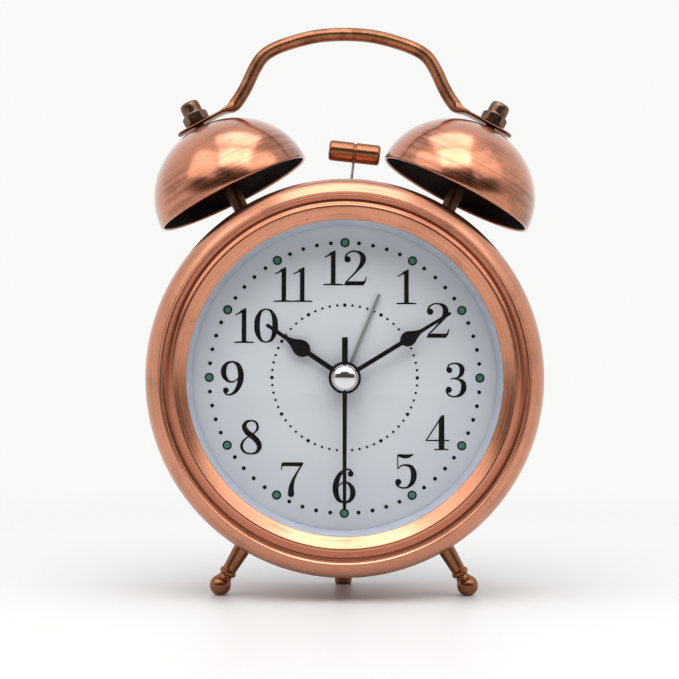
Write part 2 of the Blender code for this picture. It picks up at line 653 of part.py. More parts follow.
def make_time_train():
    """Hour, minute and seconds hands with the wheels that drive them."""
    hour_axis = moving_axis("hour_axis", (0, 0))
    hour_hand = make_hand(HOUR_ANGLE, spade(4.4, 15.8, 2.5, 0.75, 28.2), 28.2, 1.8, 4.2, HOUR_HAND_Y)
    finish(hour_hand, "hour_hand", BLACK_ENAMEL)
    minute_phase = 0.0
    motion_phase = meshing_phase(MOTION_TEETH, CANNON_TEETH, minute_phase, MOTION_DIRECTION)
    hour_phase = meshing_phase(HOUR_TEETH, MOTION_PINION_TEETH, motion_phase, MOTION_DIRECTION + math.pi)
    hour_wheel = gear(HOUR_TEETH, MODULE, hour_phase, -10.2, -9.2, (0, 0), 2.15)
    hour_pipe = pipe(1.8, 2.5, HOUR_HAND_Y + 0.5, -9.1)
    hour_wheel = finish(combine(hour_wheel, [hour_pipe], "UNION"), "hour_wheel", WHITE_PLASTIC)
    carry(hour_axis, hour_hand, hour_wheel)

    minute_axis = moving_axis("minute_axis", (0, 0))
    minute_hand = make_hand(MINUTE_ANGLE, spade(4.6, 22.3, 2.25, 0.65, 37.0), 37.0, 0.8, 4.4, MINUTE_HAND_Y)
    finish(minute_hand, "minute_hand", BLACK_ENAMEL)
    cannon = gear(CANNON_TEETH, MODULE, minute_phase, -8.5, -6.9, (0, 0), 1.15)
    cannon_pipe = pipe(0.8, 1.5, MINUTE_HAND_Y + 0.5, -6.8)
    cannon = finish(combine(cannon, [cannon_pipe], "UNION"), "cannon_pinion", WHITE_PLASTIC)
    carry(minute_axis, minute_hand, cannon)

    motion_axis = moving_axis("motion_axis", motion_place())
    arbor = rod(0.8, -10.7, -6.4, motion_place(), 12)
    motion_gears = [gear(MOTION_TEETH, MODULE, motion_phase, -8.2, -7.2, motion_place()),
                    gear(MOTION_PINION_TEETH, MODULE, motion_phase, -10.4, -7.7, motion_place())]
    motion_wheel = finish(combine(arbor, motion_gears, "UNION"), "motion_wheel", WHITE_PLASTIC)
    carry(motion_axis, motion_wheel)

    knob_axis = moving_axis("time_knob_axis", time_knob_place())
    knob_phase = meshing_phase(KNOB_TEETH, MOTION_TEETH, motion_phase, TIME_KNOB_DIRECTION)
    carry(knob_axis, make_knob(time_knob_place(), knob_phase, -8.5, -6.9, "time_set_knob"))


def make_seconds_train():
    """Seconds hand on its arbor, driven by the stepping motor's rotor through one middle wheel."""
    axis = moving_axis("second_axis", (0, 0))
    blade = [(5.0, 0.67), (38.2, 0.5)]
    hand = make_hand(SECOND_ANGLE, blade, 38.8, 0.0, BOSS_RADIUS, SECOND_HAND_Y)
    tail = plate([[(-0.87, 3.0), (0.87, 3.0), (0.87, 12.0), (-0.87, 12.0)]],
                 SECOND_HAND_Y - HAND_THICKNESS / 2, SECOND_HAND_Y + HAND_THICKNESS / 2 - 0.05)
    hand = finish(combine(hand, [tail], "UNION"), "second_hand", BLACK_ENAMEL)
    down = math.radians(270.0)
    wheel = gear(SECOND_TEETH, SECOND_MODULE, down, -5.2, -4.4, (0, 0))
    arbor = rod(0.5, SECOND_HAND_Y + 0.5, -3.0, (0, 0), 12)
    wheel = finish(combine(arbor, [wheel], "UNION"), "second_wheel", WHITE_PLASTIC)
    dome = [(CAP_RADIUS * math.sin(turn), CAP_BACK - (CAP_BACK - CAP_FRONT) * math.cos(turn))
            for turn in (math.pi / 2 * step / 5 for step in range(6))]
    cap = finish(turned_on_dial(dome + [(0, CAP_BACK)], steps=18), "hub_cap", CHROME)
    carry(axis, hand, wheel, cap)

    middle_axis = moving_axis("middle_axis", middle_place())
    middle_phase = meshing_phase(MIDDLE_PINION_TEETH, SECOND_TEETH, down, down)
    middle_arbor = rod(0.4, -5.9, -2.9, middle_place(), 12)
    middle_gears = [gear(MIDDLE_TEETH, ROTOR_MODULE, middle_phase, -3.9, -3.2, middle_place()),
                    gear(MIDDLE_PINION_TEETH, SECOND_MODULE, middle_phase, -5.4, -3.5, middle_place())]
    middle = finish(combine(middle_arbor, middle_gears, "UNION"), "middle_wheel", WHITE_PLASTIC)
    carry(middle_axis, middle)

    rotor_axis = moving_axis("rotor_axis", rotor_place())
    rotor_phase = meshing_phase(ROTOR_TEETH, MIDDLE_TEETH, middle_phase, down)
    magnet = turned_on_dial(((0, -7.6), (1.9, -7.6), (1.9, -4.8), (0.4, -4.8), (0.4, -3.6), (0, -3.6)),
                            rotor_place(), 16)
    pinion = gear(ROTOR_TEETH, ROTOR_MODULE, rotor_phase, -4.1, -3.0, rotor_place())
    carry(rotor_axis, finish(combine(magnet, [pinion], "UNION"), "rotor", MAGNET))


# ---------------------------------------------------------------- striking work

def along_hammer(distance):
    """A place on the hammer's centre line, measured up from its pivot."""
    return polar(distance, math.pi / 2 - HAMMER_LEAN, HAMMER_PIVOT)


def make_striking_work():
    motor_x, motor_z = motor_place()
    bracket = plate([rounded_box((-22.0, 18.0), (16.0, 46.6), 2.0), circle(1.4, CRANK_CENTRE, 12),
                     circle(1.4, HAMMER_PIVOT, 12), circle(3.0, (motor_x, motor_z), 16)], 5.0, 6.0)
    finish(bracket, "hammer_bracket", STEEL)
    can = ((0, 4.4), (2.4, 4.4), (2.4, 6.4), (8.0, 6.4), (8.0, 17.6), (7.2, 18.4), (0, 18.4))
    motor = turned_on_dial(can, (motor_x, motor_z), 20)
    finish(motor, "alarm_motor", STEEL)
    pivot = turned_on_dial(((0, -2.2), (1.9, -2.2), (1.9, -1.3), (1.0, -1.3), (1.0, 6.3), (1.9, 6.3),
                            (1.9, 7.0), (0, 7.0)), HAMMER_PIVOT, 14)
    finish(pivot, "hammer_pivot_pin", STEEL)

    crank_axis = moving_axis("crank_axis", CRANK_CENTRE)
    crank_phase = math.pi
    wheel = gear(CRANK_TEETH, CRANK_MODULE, crank_phase, 2.4, 3.8, CRANK_CENTRE)
    arbor = rod(1.0, 3.0, 7.5, CRANK_CENTRE, 12)
    pin = rod(0.8, 1.0, 3.0, (CRANK_CENTRE[0] + CRANK_THROW, CRANK_CENTRE[1]), 12)
    carry(crank_axis, finish(combine(wheel, [arbor, pin], "UNION"), "crank_gear", WHITE_PLASTIC))

    motor_axis = moving_axis("motor_axis", (motor_x, motor_z))
    motor_phase = meshing_phase(MOTOR_TEETH, CRANK_TEETH, crank_phase, math.pi)
    pinion = gear(MOTOR_TEETH, CRANK_MODULE, motor_phase, 1.9, 4.1, (motor_x, motor_z))
    carry(motor_axis, finish(pinion, "motor_pinion", BRASS))

    axis = moving_axis("hammer_axis", HAMMER_PIVOT)
    lean = (math.pi / 2, HAMMER_LEAN, 0.0)
    lever_outline = arc((0, 0), 3.0, 0, 180, 9) + [(-2.2, -6.0), (-2.6, -16.4), (-1.2, -16.4), (-1.2, -11.6),
                                                     (1.2, -11.6), (1.2, -16.4), (2.6, -16.4), (2.2, -6.0)]
    lever = flat_piece([lever_outline, circle(1.3, count=14)], 1.2, on_dial(*HAMMER_PIVOT), lean)
    finish(lever, "hammer_lever", STEEL)
    upright = (0.0, HAMMER_LEAN, 0.0)
    wire_top = HAMMER_LENGTH - HAMMER_HEAD_RADIUS + 0.9
    wire = turned(((0, wire_top), (0.4, wire_top), (0.4, 3.3), (0, 3.3)), on_dial(*HAMMER_PIVOT), upright, 10)
    finish(wire, "hammer_rod", STEEL)
    radius = HAMMER_HEAD_RADIUS
    half = HAMMER_HEAD_LENGTH / 2
    edge = [(radius - 0.7, half), (radius, half - 0.7), (radius, 0.35), (radius - 0.25, 0.2)]
    head_profile = [(0, half)] + edge + [(r, -height) for r, height in reversed(edge)] + [(0, -half)]
    sideways = (0.0, math.pi / 2 + HAMMER_LEAN, 0.0)
    head = turned(head_profile, on_dial(*along_hammer(HAMMER_LENGTH)), sideways, 18)
    socket = turned(((0, 0), (0.75, 0), (0.75, -6), (0, -6)),
                    on_dial(*along_hammer(HAMMER_LENGTH - HAMMER_HEAD_RADIUS + 1.3)), upright, 10)
    head = finish(smooth(combine(head, [socket], "DIFFERENCE")), "hammer_head", DARK_COPPER)
    carry(axis, lever, wire, head)


# ---------------------------------------------------------------- rear controls and batteries

def make_controls():
    """Alarm switch at the off end of its slot, and the light button."""
    x = SWITCH_CENTRE[0] - SWITCH_TRAVEL / 2
    z = SWITCH_CENTRE[1]
    axis = moving_axis("switch_axis", (x, z), COVER_BACK)
    foot = block((x - 2.4, 17.8, z - 3.4), (x + 2.4, COVER_FRONT - GAP, z + 3.4))
    grip = block((x - 2.4, 18.4, z - 1.8), (x + 2.4, COVER_BACK + 2.6, z + 1.8))
    carry(axis, finish(combine(foot, [grip], "UNION"), "alarm_switch", BLACK_PLASTIC))

    axis = moving_axis("button_axis", BUTTON_CENTRE, COVER_BACK)
    flange = COVER_FRONT - GAP
    top = COVER_BACK + 2.3
    skirt = BUTTON_RADIUS + 1.0
    button = turned_on_dial(((0, flange - 1.2), (skirt, flange - 1.2), (skirt, flange), (BUTTON_RADIUS, flange),
                             (BUTTON_RADIUS, top - 0.6), (BUTTON_RADIUS - 0.6, top), (0, top)), BUTTON_CENTRE, 20)
    carry(axis, finish(button, "light_button", BLACK_PLASTIC))


def make_battery_spring(side, z):
    """Coil that presses on a cell's flat end."""
    turns = 2.5
    points_a_turn = 9
    curve = bpy.data.curves.new("coil", "CURVE")
    curve.dimensions = "3D"
    curve.bevel_depth = 0.35 * MM
    curve.bevel_resolution = 1
    curve.render_resolution_u = 0
    curve.use_fill_caps = True
    count = int(turns * points_a_turn) + 1
    spline = curve.splines.new("POLY")
    spline.points.add(count - 1)
    for index, point in enumerate(spline.points):
        share = index / (count - 1)
        angle = TAU * turns * share
        radius = 2.2 + 1.6 * share
        across = 24.3 + 2.3 * share
        point.co = (side * across * MM, radius * math.cos(angle) * MM, radius * math.sin(angle) * MM, 1.0)
    spring = freeze(add_object(curve, on_dial(0, z, BATTERY_Y)))
    return smooth(spring)


def make_batteries():
    """Open tray behind the movement, two cells lying opposite ways, and their contacts."""
    tray = open_box((-TRAY_HALF_WIDTH - 1.0, 3.0, TRAY_BOTTOM - 0.9),
                    (TRAY_HALF_WIDTH + 1.0, COVER_FRONT - GAP, TRAY_TOP + 0.9), 1.0, 1.0, True)
    finish(tray, "battery_tray", BLACK_PLASTIC)
    for side, z, name in ((1, BATTERY_HEIGHTS[0], "upper"), (-1, BATTERY_HEIGHTS[1], "lower")):
        cell = turned(((0, 26.2), (2.6, 26.2), (2.6, 25.0), (6.4, 25.0), (BATTERY_RADIUS, 24.3),
                       (BATTERY_RADIUS, -23.4), (6.4, -23.9), (0, -23.9)),
                      on_dial(0, z, BATTERY_Y), (0.0, side * math.pi / 2, 0.0), 18)
        finish(cell, f"battery_{name}", CELL_WRAP)
        finish(make_battery_spring(-side, z), f"battery_spring_{name}", STEEL)
    link = block((27.3, BATTERY_Y - 4.0, -39.0), (27.9, BATTERY_Y + 4.0, -12.0))
    finish(link, "battery_link_plate", STEEL)
    contact = block((-27.9, BATTERY_Y - 4.0, -37.5), (-27.3, BATTERY_Y + 4.0, -28.5))
    finish(contact, "battery_contact_plate", STEEL)
    panel = rounded_box((-27.4, TRAY_BOTTOM + 0.2), (27.4, TRAY_TOP - 0.2), 1.8)
    door = plate([panel], COVER_FRONT + 0.2, COVER_BACK)
    grip = block((-6.0, COVER_BACK - 0.5, TRAY_TOP - 3.4), (6.0, COVER_BACK + 0.9, TRAY_TOP - 2.2))
    door = finish(combine(door, [grip], "UNION"), "battery_door", BLACK_PLASTIC)
    carry(moving_axis("battery_door_axis", (0, (TRAY_TOP + TRAY_BOTTOM) / 2), COVER_BACK), door)


make_case_drum()
make_bezel()
make_lens_and_dial()
make_rear_cover()
for bell_side, bell_name in ((-1, "left"), (1, "right")):
    make_bell_set(bell_side, bell_name)
make_handle()
make_feet()
make_movement_body()
make_alarm_hand_set()
make_time_train()
make_seconds_train()
make_striking_work()
make_controls()
make_batteries()
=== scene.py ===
"""Looks for a twin-bell alarm clock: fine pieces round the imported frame, finishes, light and camera.

Sizes are in millimetres and are turned into metres where a mesh is made.
The dial faces -Y and +Z is up. A place on the dial is (x, z) from its axis.
"""

import json
import math

import bmesh
import bpy
from mathutils import Matrix, Vector


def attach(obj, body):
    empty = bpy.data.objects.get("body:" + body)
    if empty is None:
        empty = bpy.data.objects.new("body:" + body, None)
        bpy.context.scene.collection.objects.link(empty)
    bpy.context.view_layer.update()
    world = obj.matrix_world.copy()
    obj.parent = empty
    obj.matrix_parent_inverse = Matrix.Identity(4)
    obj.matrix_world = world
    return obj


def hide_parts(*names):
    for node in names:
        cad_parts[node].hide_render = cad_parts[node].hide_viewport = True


MM = 0.001
TAU = 2 * math.pi
AXIS_HEIGHT = 65.5323
ROUND_STEPS = 192              # facets round the large turned pieces

DRUM_RADIUS = 54.6
DRUM_INNER = 53.6
DRUM_BACK = 21.4
RIM_FRONT = -28.4
RIM_ROUTE = ((54.2, RIM_FRONT), (56.2, -26.8), (57.7, -25.0), (58.6, -22.8),   # radius and depth
             (58.0, -20.6), (56.6, -19.0), (DRUM_RADIUS + 0.1, -18.4))
REAR_LIP_RADIUS = 51.4
DIAL_FRONT = -15.0
BEZEL_FRONT = -28.6
LENS_FRONT = -26.0
LENS_BACK = -24.6
COVER_FRONT = 19.4
COVER_BACK = 21.2

BELL_TILT = math.radians(27.0)
BELL_RADIUS = 24.8
BELL_HEIGHT = 22.8
BELL_WALL = 0.9
BELL_RIM = (34.3, 56.8)        # centre of the right bell's rim
TAB_ALONG = 23.6
HANDLE_WIRE = 2.05
HANDLE_ROUTE = ((0, 106.2), (8, 105.7), (15, 104.1), (21.5, 101.8), (25.4, 99.2),
                (28.0, 95.3), (31.2, 88.6), (34.4, 83.9))

FOOT_ANGLE = math.radians(30.8)
FOOT_REACH = 72.8
FOOT_BALL = 3.2
FOOT_Y = -9.0
REAR_FOOT_Y = 16.8

HAMMER_PIVOT = (0.0, 42.4)
HAMMER_LENGTH = 27.2
HAMMER_LEAN = math.radians(6.3)
HAMMER_HEAD = 3.15

TIME_KNOB = (-23.094, 6.188)
ALARM_KNOB = (11.535, 3.308)
SWITCH_CENTRE = (28.0, 22.0)
BUTTON_CENTRE = (0.0, 38.0)
SCREW_ANGLES = (15.0, 165.0, 270.0)
KNOB_FLUTES = 32

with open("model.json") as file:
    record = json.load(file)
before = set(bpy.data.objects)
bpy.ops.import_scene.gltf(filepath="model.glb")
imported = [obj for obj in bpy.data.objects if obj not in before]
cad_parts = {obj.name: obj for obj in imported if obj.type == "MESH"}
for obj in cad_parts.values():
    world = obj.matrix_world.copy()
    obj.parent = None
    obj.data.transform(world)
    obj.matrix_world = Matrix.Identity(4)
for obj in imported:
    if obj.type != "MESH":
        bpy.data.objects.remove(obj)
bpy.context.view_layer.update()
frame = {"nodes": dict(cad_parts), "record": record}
BODY_OF = {node: body for body, nodes in frame["record"]["behaviour"]["bodies"].items() for node in nodes}
OWN_PLACE = "own_place"
FACING = (math.pi / 2, 0.0, 0.0)   # local Z to the front, local XY to the dial's x and z


def on_dial(x, z, y=0.0):
    """World position, in metres, of a place given from the dial's axis."""
    return Vector((x, y, z + AXIS_HEIGHT)) * MM


def polar(radius, angle, centre=(0.0, 0.0)):
    """Place at an angle in degrees, anticlockwise from +X as seen from the front."""
    turn = math.radians(angle)
    return (centre[0] + radius * math.cos(turn), centre[1] + radius * math.sin(turn))


def bell_point(side, along, across=0.0):
    """A point on a bell's axis, from its rim centre outwards, and across towards the outside."""
    x = BELL_RIM[0] + along * math.sin(BELL_TILT) + across * math.cos(BELL_TILT)
    z = BELL_RIM[1] + along * math.cos(BELL_TILT) - across * math.sin(BELL_TILT)
    return on_dial(side * x, z)


# -------- camera, floor and light

def make_camera():
    camera = bpy.data.objects.new("camera", bpy.data.cameras.new("camera"))
    camera.data.lens = 82.55
    camera.data.sensor_width = 36.0
    camera.data.clip_start = 0.01
    camera.location = (-0.0042, -0.480, 0.0671)
    camera.rotation_euler = (math.radians(91.213), math.radians(-0.148), math.radians(-0.327))
    bpy.context.scene.collection.objects.link(camera)
    bpy.context.scene.camera = camera


def set_inputs(tree, node, inputs):
    """Give a node's inputs their values, or the sockets they link from."""
    for key, value in inputs.items():
        if isinstance(value, bpy.types.NodeSocket):
            tree.links.new(value, node.inputs[key])
        else:
            node.inputs[key].default_value = value


def add_node(tree, kind, inputs=None, **settings):
    node = tree.nodes.new(kind)
    for key, value in settings.items():
        setattr(node, key, value)
    set_inputs(tree, node, inputs or {})
    return node


def math_node(tree, operation, *values):
    node = add_node(tree, "ShaderNodeMath", dict(enumerate(values)), operation=operation)
    return node.outputs[0]


def ramp(tree, factor, low, high, start=0.0, end=1.0):
    """Smoothly change a number from start to end while the factor goes from low to high."""
    inputs = {"Value": factor, "From Min": low, "From Max": high, "To Min": start, "To Max": end}
    return add_node(tree, "ShaderNodeMapRange", inputs, interpolation_type="SMOOTHSTEP").outputs[0]


def mix_colours(tree, factor, first, second, blend="MIX"):
    first, second = ((*side, 1.0) if isinstance(side, tuple) else side for side in (first, second))
    inputs = {0: factor, 6: first, 7: second}
    return add_node(tree, "ShaderNodeMix", inputs, data_type="RGBA", blend_type=blend).outputs[2]


BACKDROP = (0.945, 0.945, 0.930)
FLOOR_COLOUR = (0.700, 0.700, 0.690)
STUDIO_LOW = (0.58, 0.58, 0.59)
STUDIO_HIGH = (0.94, 0.95, 0.98)
STUDIO_DARK = (0.07, 0.062, 0.058)


def make_world():
    """Pale studio: bright overhead and behind, darker low in front where the camera stands."""
    world = bpy.data.worlds.new("studio")
    bpy.context.scene.world = world
    world.use_nodes = True
    tree = world.node_tree
    background = tree.nodes["Background"]
    direction = add_node(tree, "ShaderNodeTexCoord").outputs["Generated"]
    split = add_node(tree, "ShaderNodeSeparateXYZ", {0: direction})
    ahead = ramp(tree, math_node(tree, "MULTIPLY", split.outputs[1], -1.0), 0.15, 0.68)
    low = ramp(tree, split.outputs[2], 0.42, 0.68, 1.0, 0.0)
    front = math_node(tree, "MULTIPLY", ahead, low)
    height = ramp(tree, split.outputs[2], 0.0, 0.9)
    room = mix_colours(tree, height, STUDIO_LOW, STUDIO_HIGH)
    rays = add_node(tree, "ShaderNodeLightPath").outputs
    room = mix_colours(tree, rays["Is Glossy Ray"], room, BACKDROP)
    room = mix_colours(tree, front, room, STUDIO_DARK)
    seen = math_node(tree, "MAXIMUM", rays["Is Camera Ray"], rays["Is Transmission Ray"])
    tree.links.new(mix_colours(tree, seen, room, BACKDROP), background.inputs["Color"])


def make_floor():
    """Pale polished floor that fades into the backdrop far from the clock."""
    mesh = bpy.data.meshes.new("floor")
    cage = bmesh.new()
    bmesh.ops.create_circle(cage, cap_ends=True, segments=96, radius=6.0)
    cage.to_mesh(mesh)
    cage.free()
    floor = bpy.data.objects.new("floor", mesh)
    bpy.context.scene.collection.objects.link(floor)
    material = bpy.data.materials.new("floor_polish")
    material.use_nodes = True
    mesh.materials.append(material)
    tree = material.node_tree
    shader = tree.nodes["Principled BSDF"]
    place = add_node(tree, "ShaderNodeTexCoord").outputs["Object"]
    wear = add_node(tree, "ShaderNodeTexNoise", {"Vector": place, "Scale": 14.0, "Detail": 4.0}).outputs[0]
    set_inputs(tree, shader, {"Base Color": (*FLOOR_COLOUR, 1.0),
                              "Roughness": ramp(tree, wear, 0.3, 0.7, 0.40, 0.48)})
    distance = add_node(tree, "ShaderNodeVectorMath", {0: place}, operation="LENGTH").outputs["Value"]
    far = ramp(tree, distance, 0.13, 0.45)
    plain = add_node(tree, "ShaderNodeEmission", {"Color": (*BACKDROP, 1.0), "Strength": 1.0})
    rays = add_node(tree, "ShaderNodeLightPath").outputs
    seen = math_node(tree, "MAXIMUM", rays["Is Camera Ray"], rays["Is Glossy Ray"])
    seen = math_node(tree, "MAXIMUM", seen, rays["Is Transmission Ray"])
    share = math_node(tree, "MULTIPLY", far, seen)
    mixed = add_node(tree, "ShaderNodeMixShader", {0: share, 1: shader.outputs[0], 2: plain.outputs[0]})
    tree.links.new(mixed.outputs[0], tree.nodes["Material Output"].inputs["Surface"])


def add_lamp(name, place, aim, width, height, power, colour):
    lamp = bpy.data.lights.new(name, "AREA")
    lamp.shape = "RECTANGLE"
    lamp.size = width
    lamp.size_y = height
    lamp.energy = power
    lamp.color = colour
    holder = bpy.data.objects.new(name, lamp)
    holder.location = place
    holder.rotation_euler = (Vector(aim) - Vector(place)).to_track_quat("-Z", "Y").to_euler()
    bpy.context.scene.collection.objects.link(holder)


WHITE = (1.0, 1.0, 1.0)
WARM = (1.0, 0.98, 0.96)
LAMPS = (                      # name, place, aim, width, height, watts and colour
    ("left_softbox", (-0.66, -0.58, 0.80), (0, 0, 0.08), 0.90, 0.75, 2.9, WARM),
    ("right_softbox", (0.66, -0.58, 0.80), (0, 0, 0.08), 0.90, 0.75, 2.7, WARM),
    ("front_softbox", (0.0, -0.56, 0.82), (0, 0, 0.07), 0.62, 0.52, 3.3, WHITE),
    ("top_softbox", (0.0, -0.08, 1.06), (0, 0, 0.06), 0.70, 0.46, 2.7, WHITE),
)


# -------- finishes

def start_finish(name, metallic=0.0, roughness=0.5, colour=(0.5, 0.5, 0.5)):
    material = bpy.data.materials.new(name)
    material.use_nodes = True
    tree = material.node_tree
    shader = tree.nodes["Principled BSDF"]
    set_inputs(tree, shader, {"Base Color": (*colour, 1.0), "Metallic": metallic, "Roughness": roughness})
    return material, tree, shader


def object_place(tree):
    return add_node(tree, "ShaderNodeTexCoord").outputs["Object"]


def noise(tree, place, scale, detail=4.0, roughness=0.55, distortion=0.0):
    inputs = {"Vector": place, "Scale": scale, "Detail": detail, "Roughness": roughness,
              "Distortion": distortion}
    return add_node(tree, "ShaderNodeTexNoise", inputs).outputs[0]


def set_bump(tree, shader, height, strength, distance):
    inputs = {"Height": height, "Strength": strength, "Distance": distance}
    set_inputs(tree, shader, {"Normal": add_node(tree, "ShaderNodeBump", inputs).outputs[0]})


def own_place(tree):
    """A piece's coordinates before it was set in its place."""
    return add_node(tree, "ShaderNodeAttribute", attribute_name=OWN_PLACE).outputs["Vector"]


def round_axis(tree, place):
    """A place's offset from the local Z axis, its distance from that axis and its height along it."""
    split = add_node(tree, "ShaderNodeSeparateXYZ", {0: place}).outputs
    offset = add_node(tree, "ShaderNodeCombineXYZ", {0: split[0], 1: split[1]}).outputs[0]
    radius = add_node(tree, "ShaderNodeVectorMath", {0: offset}, operation="LENGTH").outputs["Value"]
    return offset, radius, split[2]


def turned_streaks(tree, place, lines):
    """Fine streaks that run round the local Z axis without a seam."""
    offset, radius, height = round_axis(tree, place)
    around = add_node(tree, "ShaderNodeVectorMath", {0: offset}, operation="NORMALIZE").outputs[0]
    rise = add_node(tree, "ShaderNodeCombineXYZ", {2: math_node(tree, "MULTIPLY", height, lines)}).outputs[0]
    vector = add_node(tree, "ShaderNodeVectorMath", {0: around, 1: rise}, operation="ADD").outputs[0]
    inputs = {"Vector": vector, "W": math_node(tree, "MULTIPLY", radius, lines),
              "Scale": 1.0, "Detail": 4.0, "Roughness": 0.62}
    return add_node(tree, "ShaderNodeTexNoise", inputs, noise_dimensions="4D").outputs[0]


def brushed_metal(name, pale, deep, roughness, patina, brush, lacquer=0.0, cove=None, skirt=0.0,
                  lines=2600.0):
    """Metal brushed round its turning axis, with tarnish in streaky patches.

    Patina and brush are how strongly the tarnish and the brush lines show, from 0 to 1. A cove, given as
    two radii, is darkened with painted shade, and more tarnish collects in a skirt, given as a height above
    the rim.
    """
    material, tree, shader = start_finish(name, 1.0, roughness)
    place = own_place(tree)
    _, radius, height = round_axis(tree, place)
    streaks = turned_streaks(tree, place, lines)
    colour = mix_colours(tree, ramp(tree, streaks, 0.30, 0.70, 0.5 - brush / 2, 0.5 + brush / 2), deep, pale)
    stain = noise(tree, place, 70.0, 6.0, 0.65, 0.6)
    smears = turned_streaks(tree, place, SMEAR_LINES)
    stain = add_node(tree, "ShaderNodeMix", {0: 0.45, 2: stain, 3: smears}).outputs[0]
    if skirt:
        stain = math_node(tree, "ADD", stain, ramp(tree, height, 0.0, skirt * MM, 0.07, 0.0))
    tarnish = (0.40 * deep[0], 0.36 * deep[1], 0.33 * deep[2])
    colour = mix_colours(tree, ramp(tree, stain, 0.48, 0.66, 0.0, patina), colour, tarnish)
    specks = ramp(tree, noise(tree, place, 900.0, 2.0), 0.66, 0.74, 0.0, patina)
    colour = mix_colours(tree, specks, colour, tarnish)
    # painted shade: a darker, warmer ring over the cove between two radii
    if cove:
        inside = ramp(tree, radius, (cove[0] - 0.4) * MM, cove[0] * MM)
        outside = ramp(tree, radius, cove[1] * MM, (cove[1] + 0.5) * MM, 1.0, 0.0)
        share = math_node(tree, "MULTIPLY", inside, outside)
        colour = mix_colours(tree, share, colour, COVE_PAINTED_SHADE, "MULTIPLY")
    uneven = ramp(tree, streaks, 0.3, 0.7, roughness - 0.06 * brush, roughness + 0.08 * brush)
    set_inputs(tree, shader, {"Base Color": colour, "Roughness": uneven,
                              "Coat Weight": lacquer, "Coat Roughness": 0.16})
    set_bump(tree, shader, streaks, 0.22 * brush, 0.00002)
    return material


def mottle(tree, shader, pale, deep, cloud, fine, rough, grain, depth):
    """Let a coarse noise mix two colours, and a fine one vary the roughness and the surface."""
    colour = mix_colours(tree, ramp(tree, cloud, 0.3, 0.7), deep, pale)
    set_inputs(tree, shader, {"Base Color": colour, "Roughness": ramp(tree, fine, 0.3, 0.7, *rough)})
    set_bump(tree, shader, fine, grain, depth)


def plain_metal(name, pale, deep, roughness, scale=160.0):
    """Cast or drawn metal with uneven polish."""
    material, tree, shader = start_finish(name, 1.0, roughness)
    place = object_place(tree)
    cloud = noise(tree, place, scale, 5.0, 0.6, 0.3)
    fine = noise(tree, place, 9.0 * scale, 3.0)
    mottle(tree, shader, pale, deep, cloud, fine, (roughness - 0.05, roughness + 0.08), 0.2, 0.00002)
    return material


def moulded(name, pale, deep, roughness, grain=0.25, gloss=0.5):
    """Plastic, paint or ink with a faint mottle and a fine moulded grain."""
    material, tree, shader = start_finish(name, 0.0, roughness)
    shader.inputs["Specular IOR Level"].default_value = gloss
    place = object_place(tree)
    cloud = noise(tree, place, 90.0, 4.0)
    fine = noise(tree, place, 2600.0, 2.0)
    mottle(tree, shader, pale, deep, cloud, fine, (roughness - 0.05, roughness + 0.05), grain, 0.00004)
    return material


def cell_wrap(name):
    """Printed sleeve with a metal-coloured band at the cell's raised end."""
    material, tree, shader = start_finish(name, 0.0, 0.3)
    place = object_place(tree)
    split = add_node(tree, "ShaderNodeSeparateXYZ", {0: place}).outputs
    stain = noise(tree, place, 120.0, 3.0)
    sleeve = mix_colours(tree, stain, (0.010, 0.012, 0.016), (0.020, 0.024, 0.030))
    upper = ramp(tree, split[2], 0.0400, 0.0402)
    right = ramp(tree, split[0], 0.0098, 0.0100)
    left = ramp(tree, split[0], -0.0098, -0.0100)
    band = add_node(tree, "ShaderNodeMix", {0: upper, 2: left, 3: right}).outputs[0]
    colour = mix_colours(tree, band, sleeve, (0.62, 0.36, 0.12))
    set_inputs(tree, shader, {"Base Color": colour, "Metallic": ramp(tree, band, 0.0, 1.0, 0.0, 0.85)})
    return material


def dial_paint(name):
    """Pale silvered dial with a soft satin grain."""
    material, tree, shader = start_finish(name, 0.0, 0.5)
    place = object_place(tree)
    cloud = noise(tree, place, 40.0, 3.0)
    fine = noise(tree, place, 3200.0, 2.0)
    mottle(tree, shader, (0.63, 0.660, 0.70), (0.60, 0.630, 0.670), cloud, fine, (0.42, 0.55), 0.15, 0.00002)
    return material


def clear_glass(name):
    material, _, shader = start_finish(name, 0.0, 0.02, (0.12, 0.13, 0.14))
    shader.inputs["Alpha"].default_value = 0.02
    return material


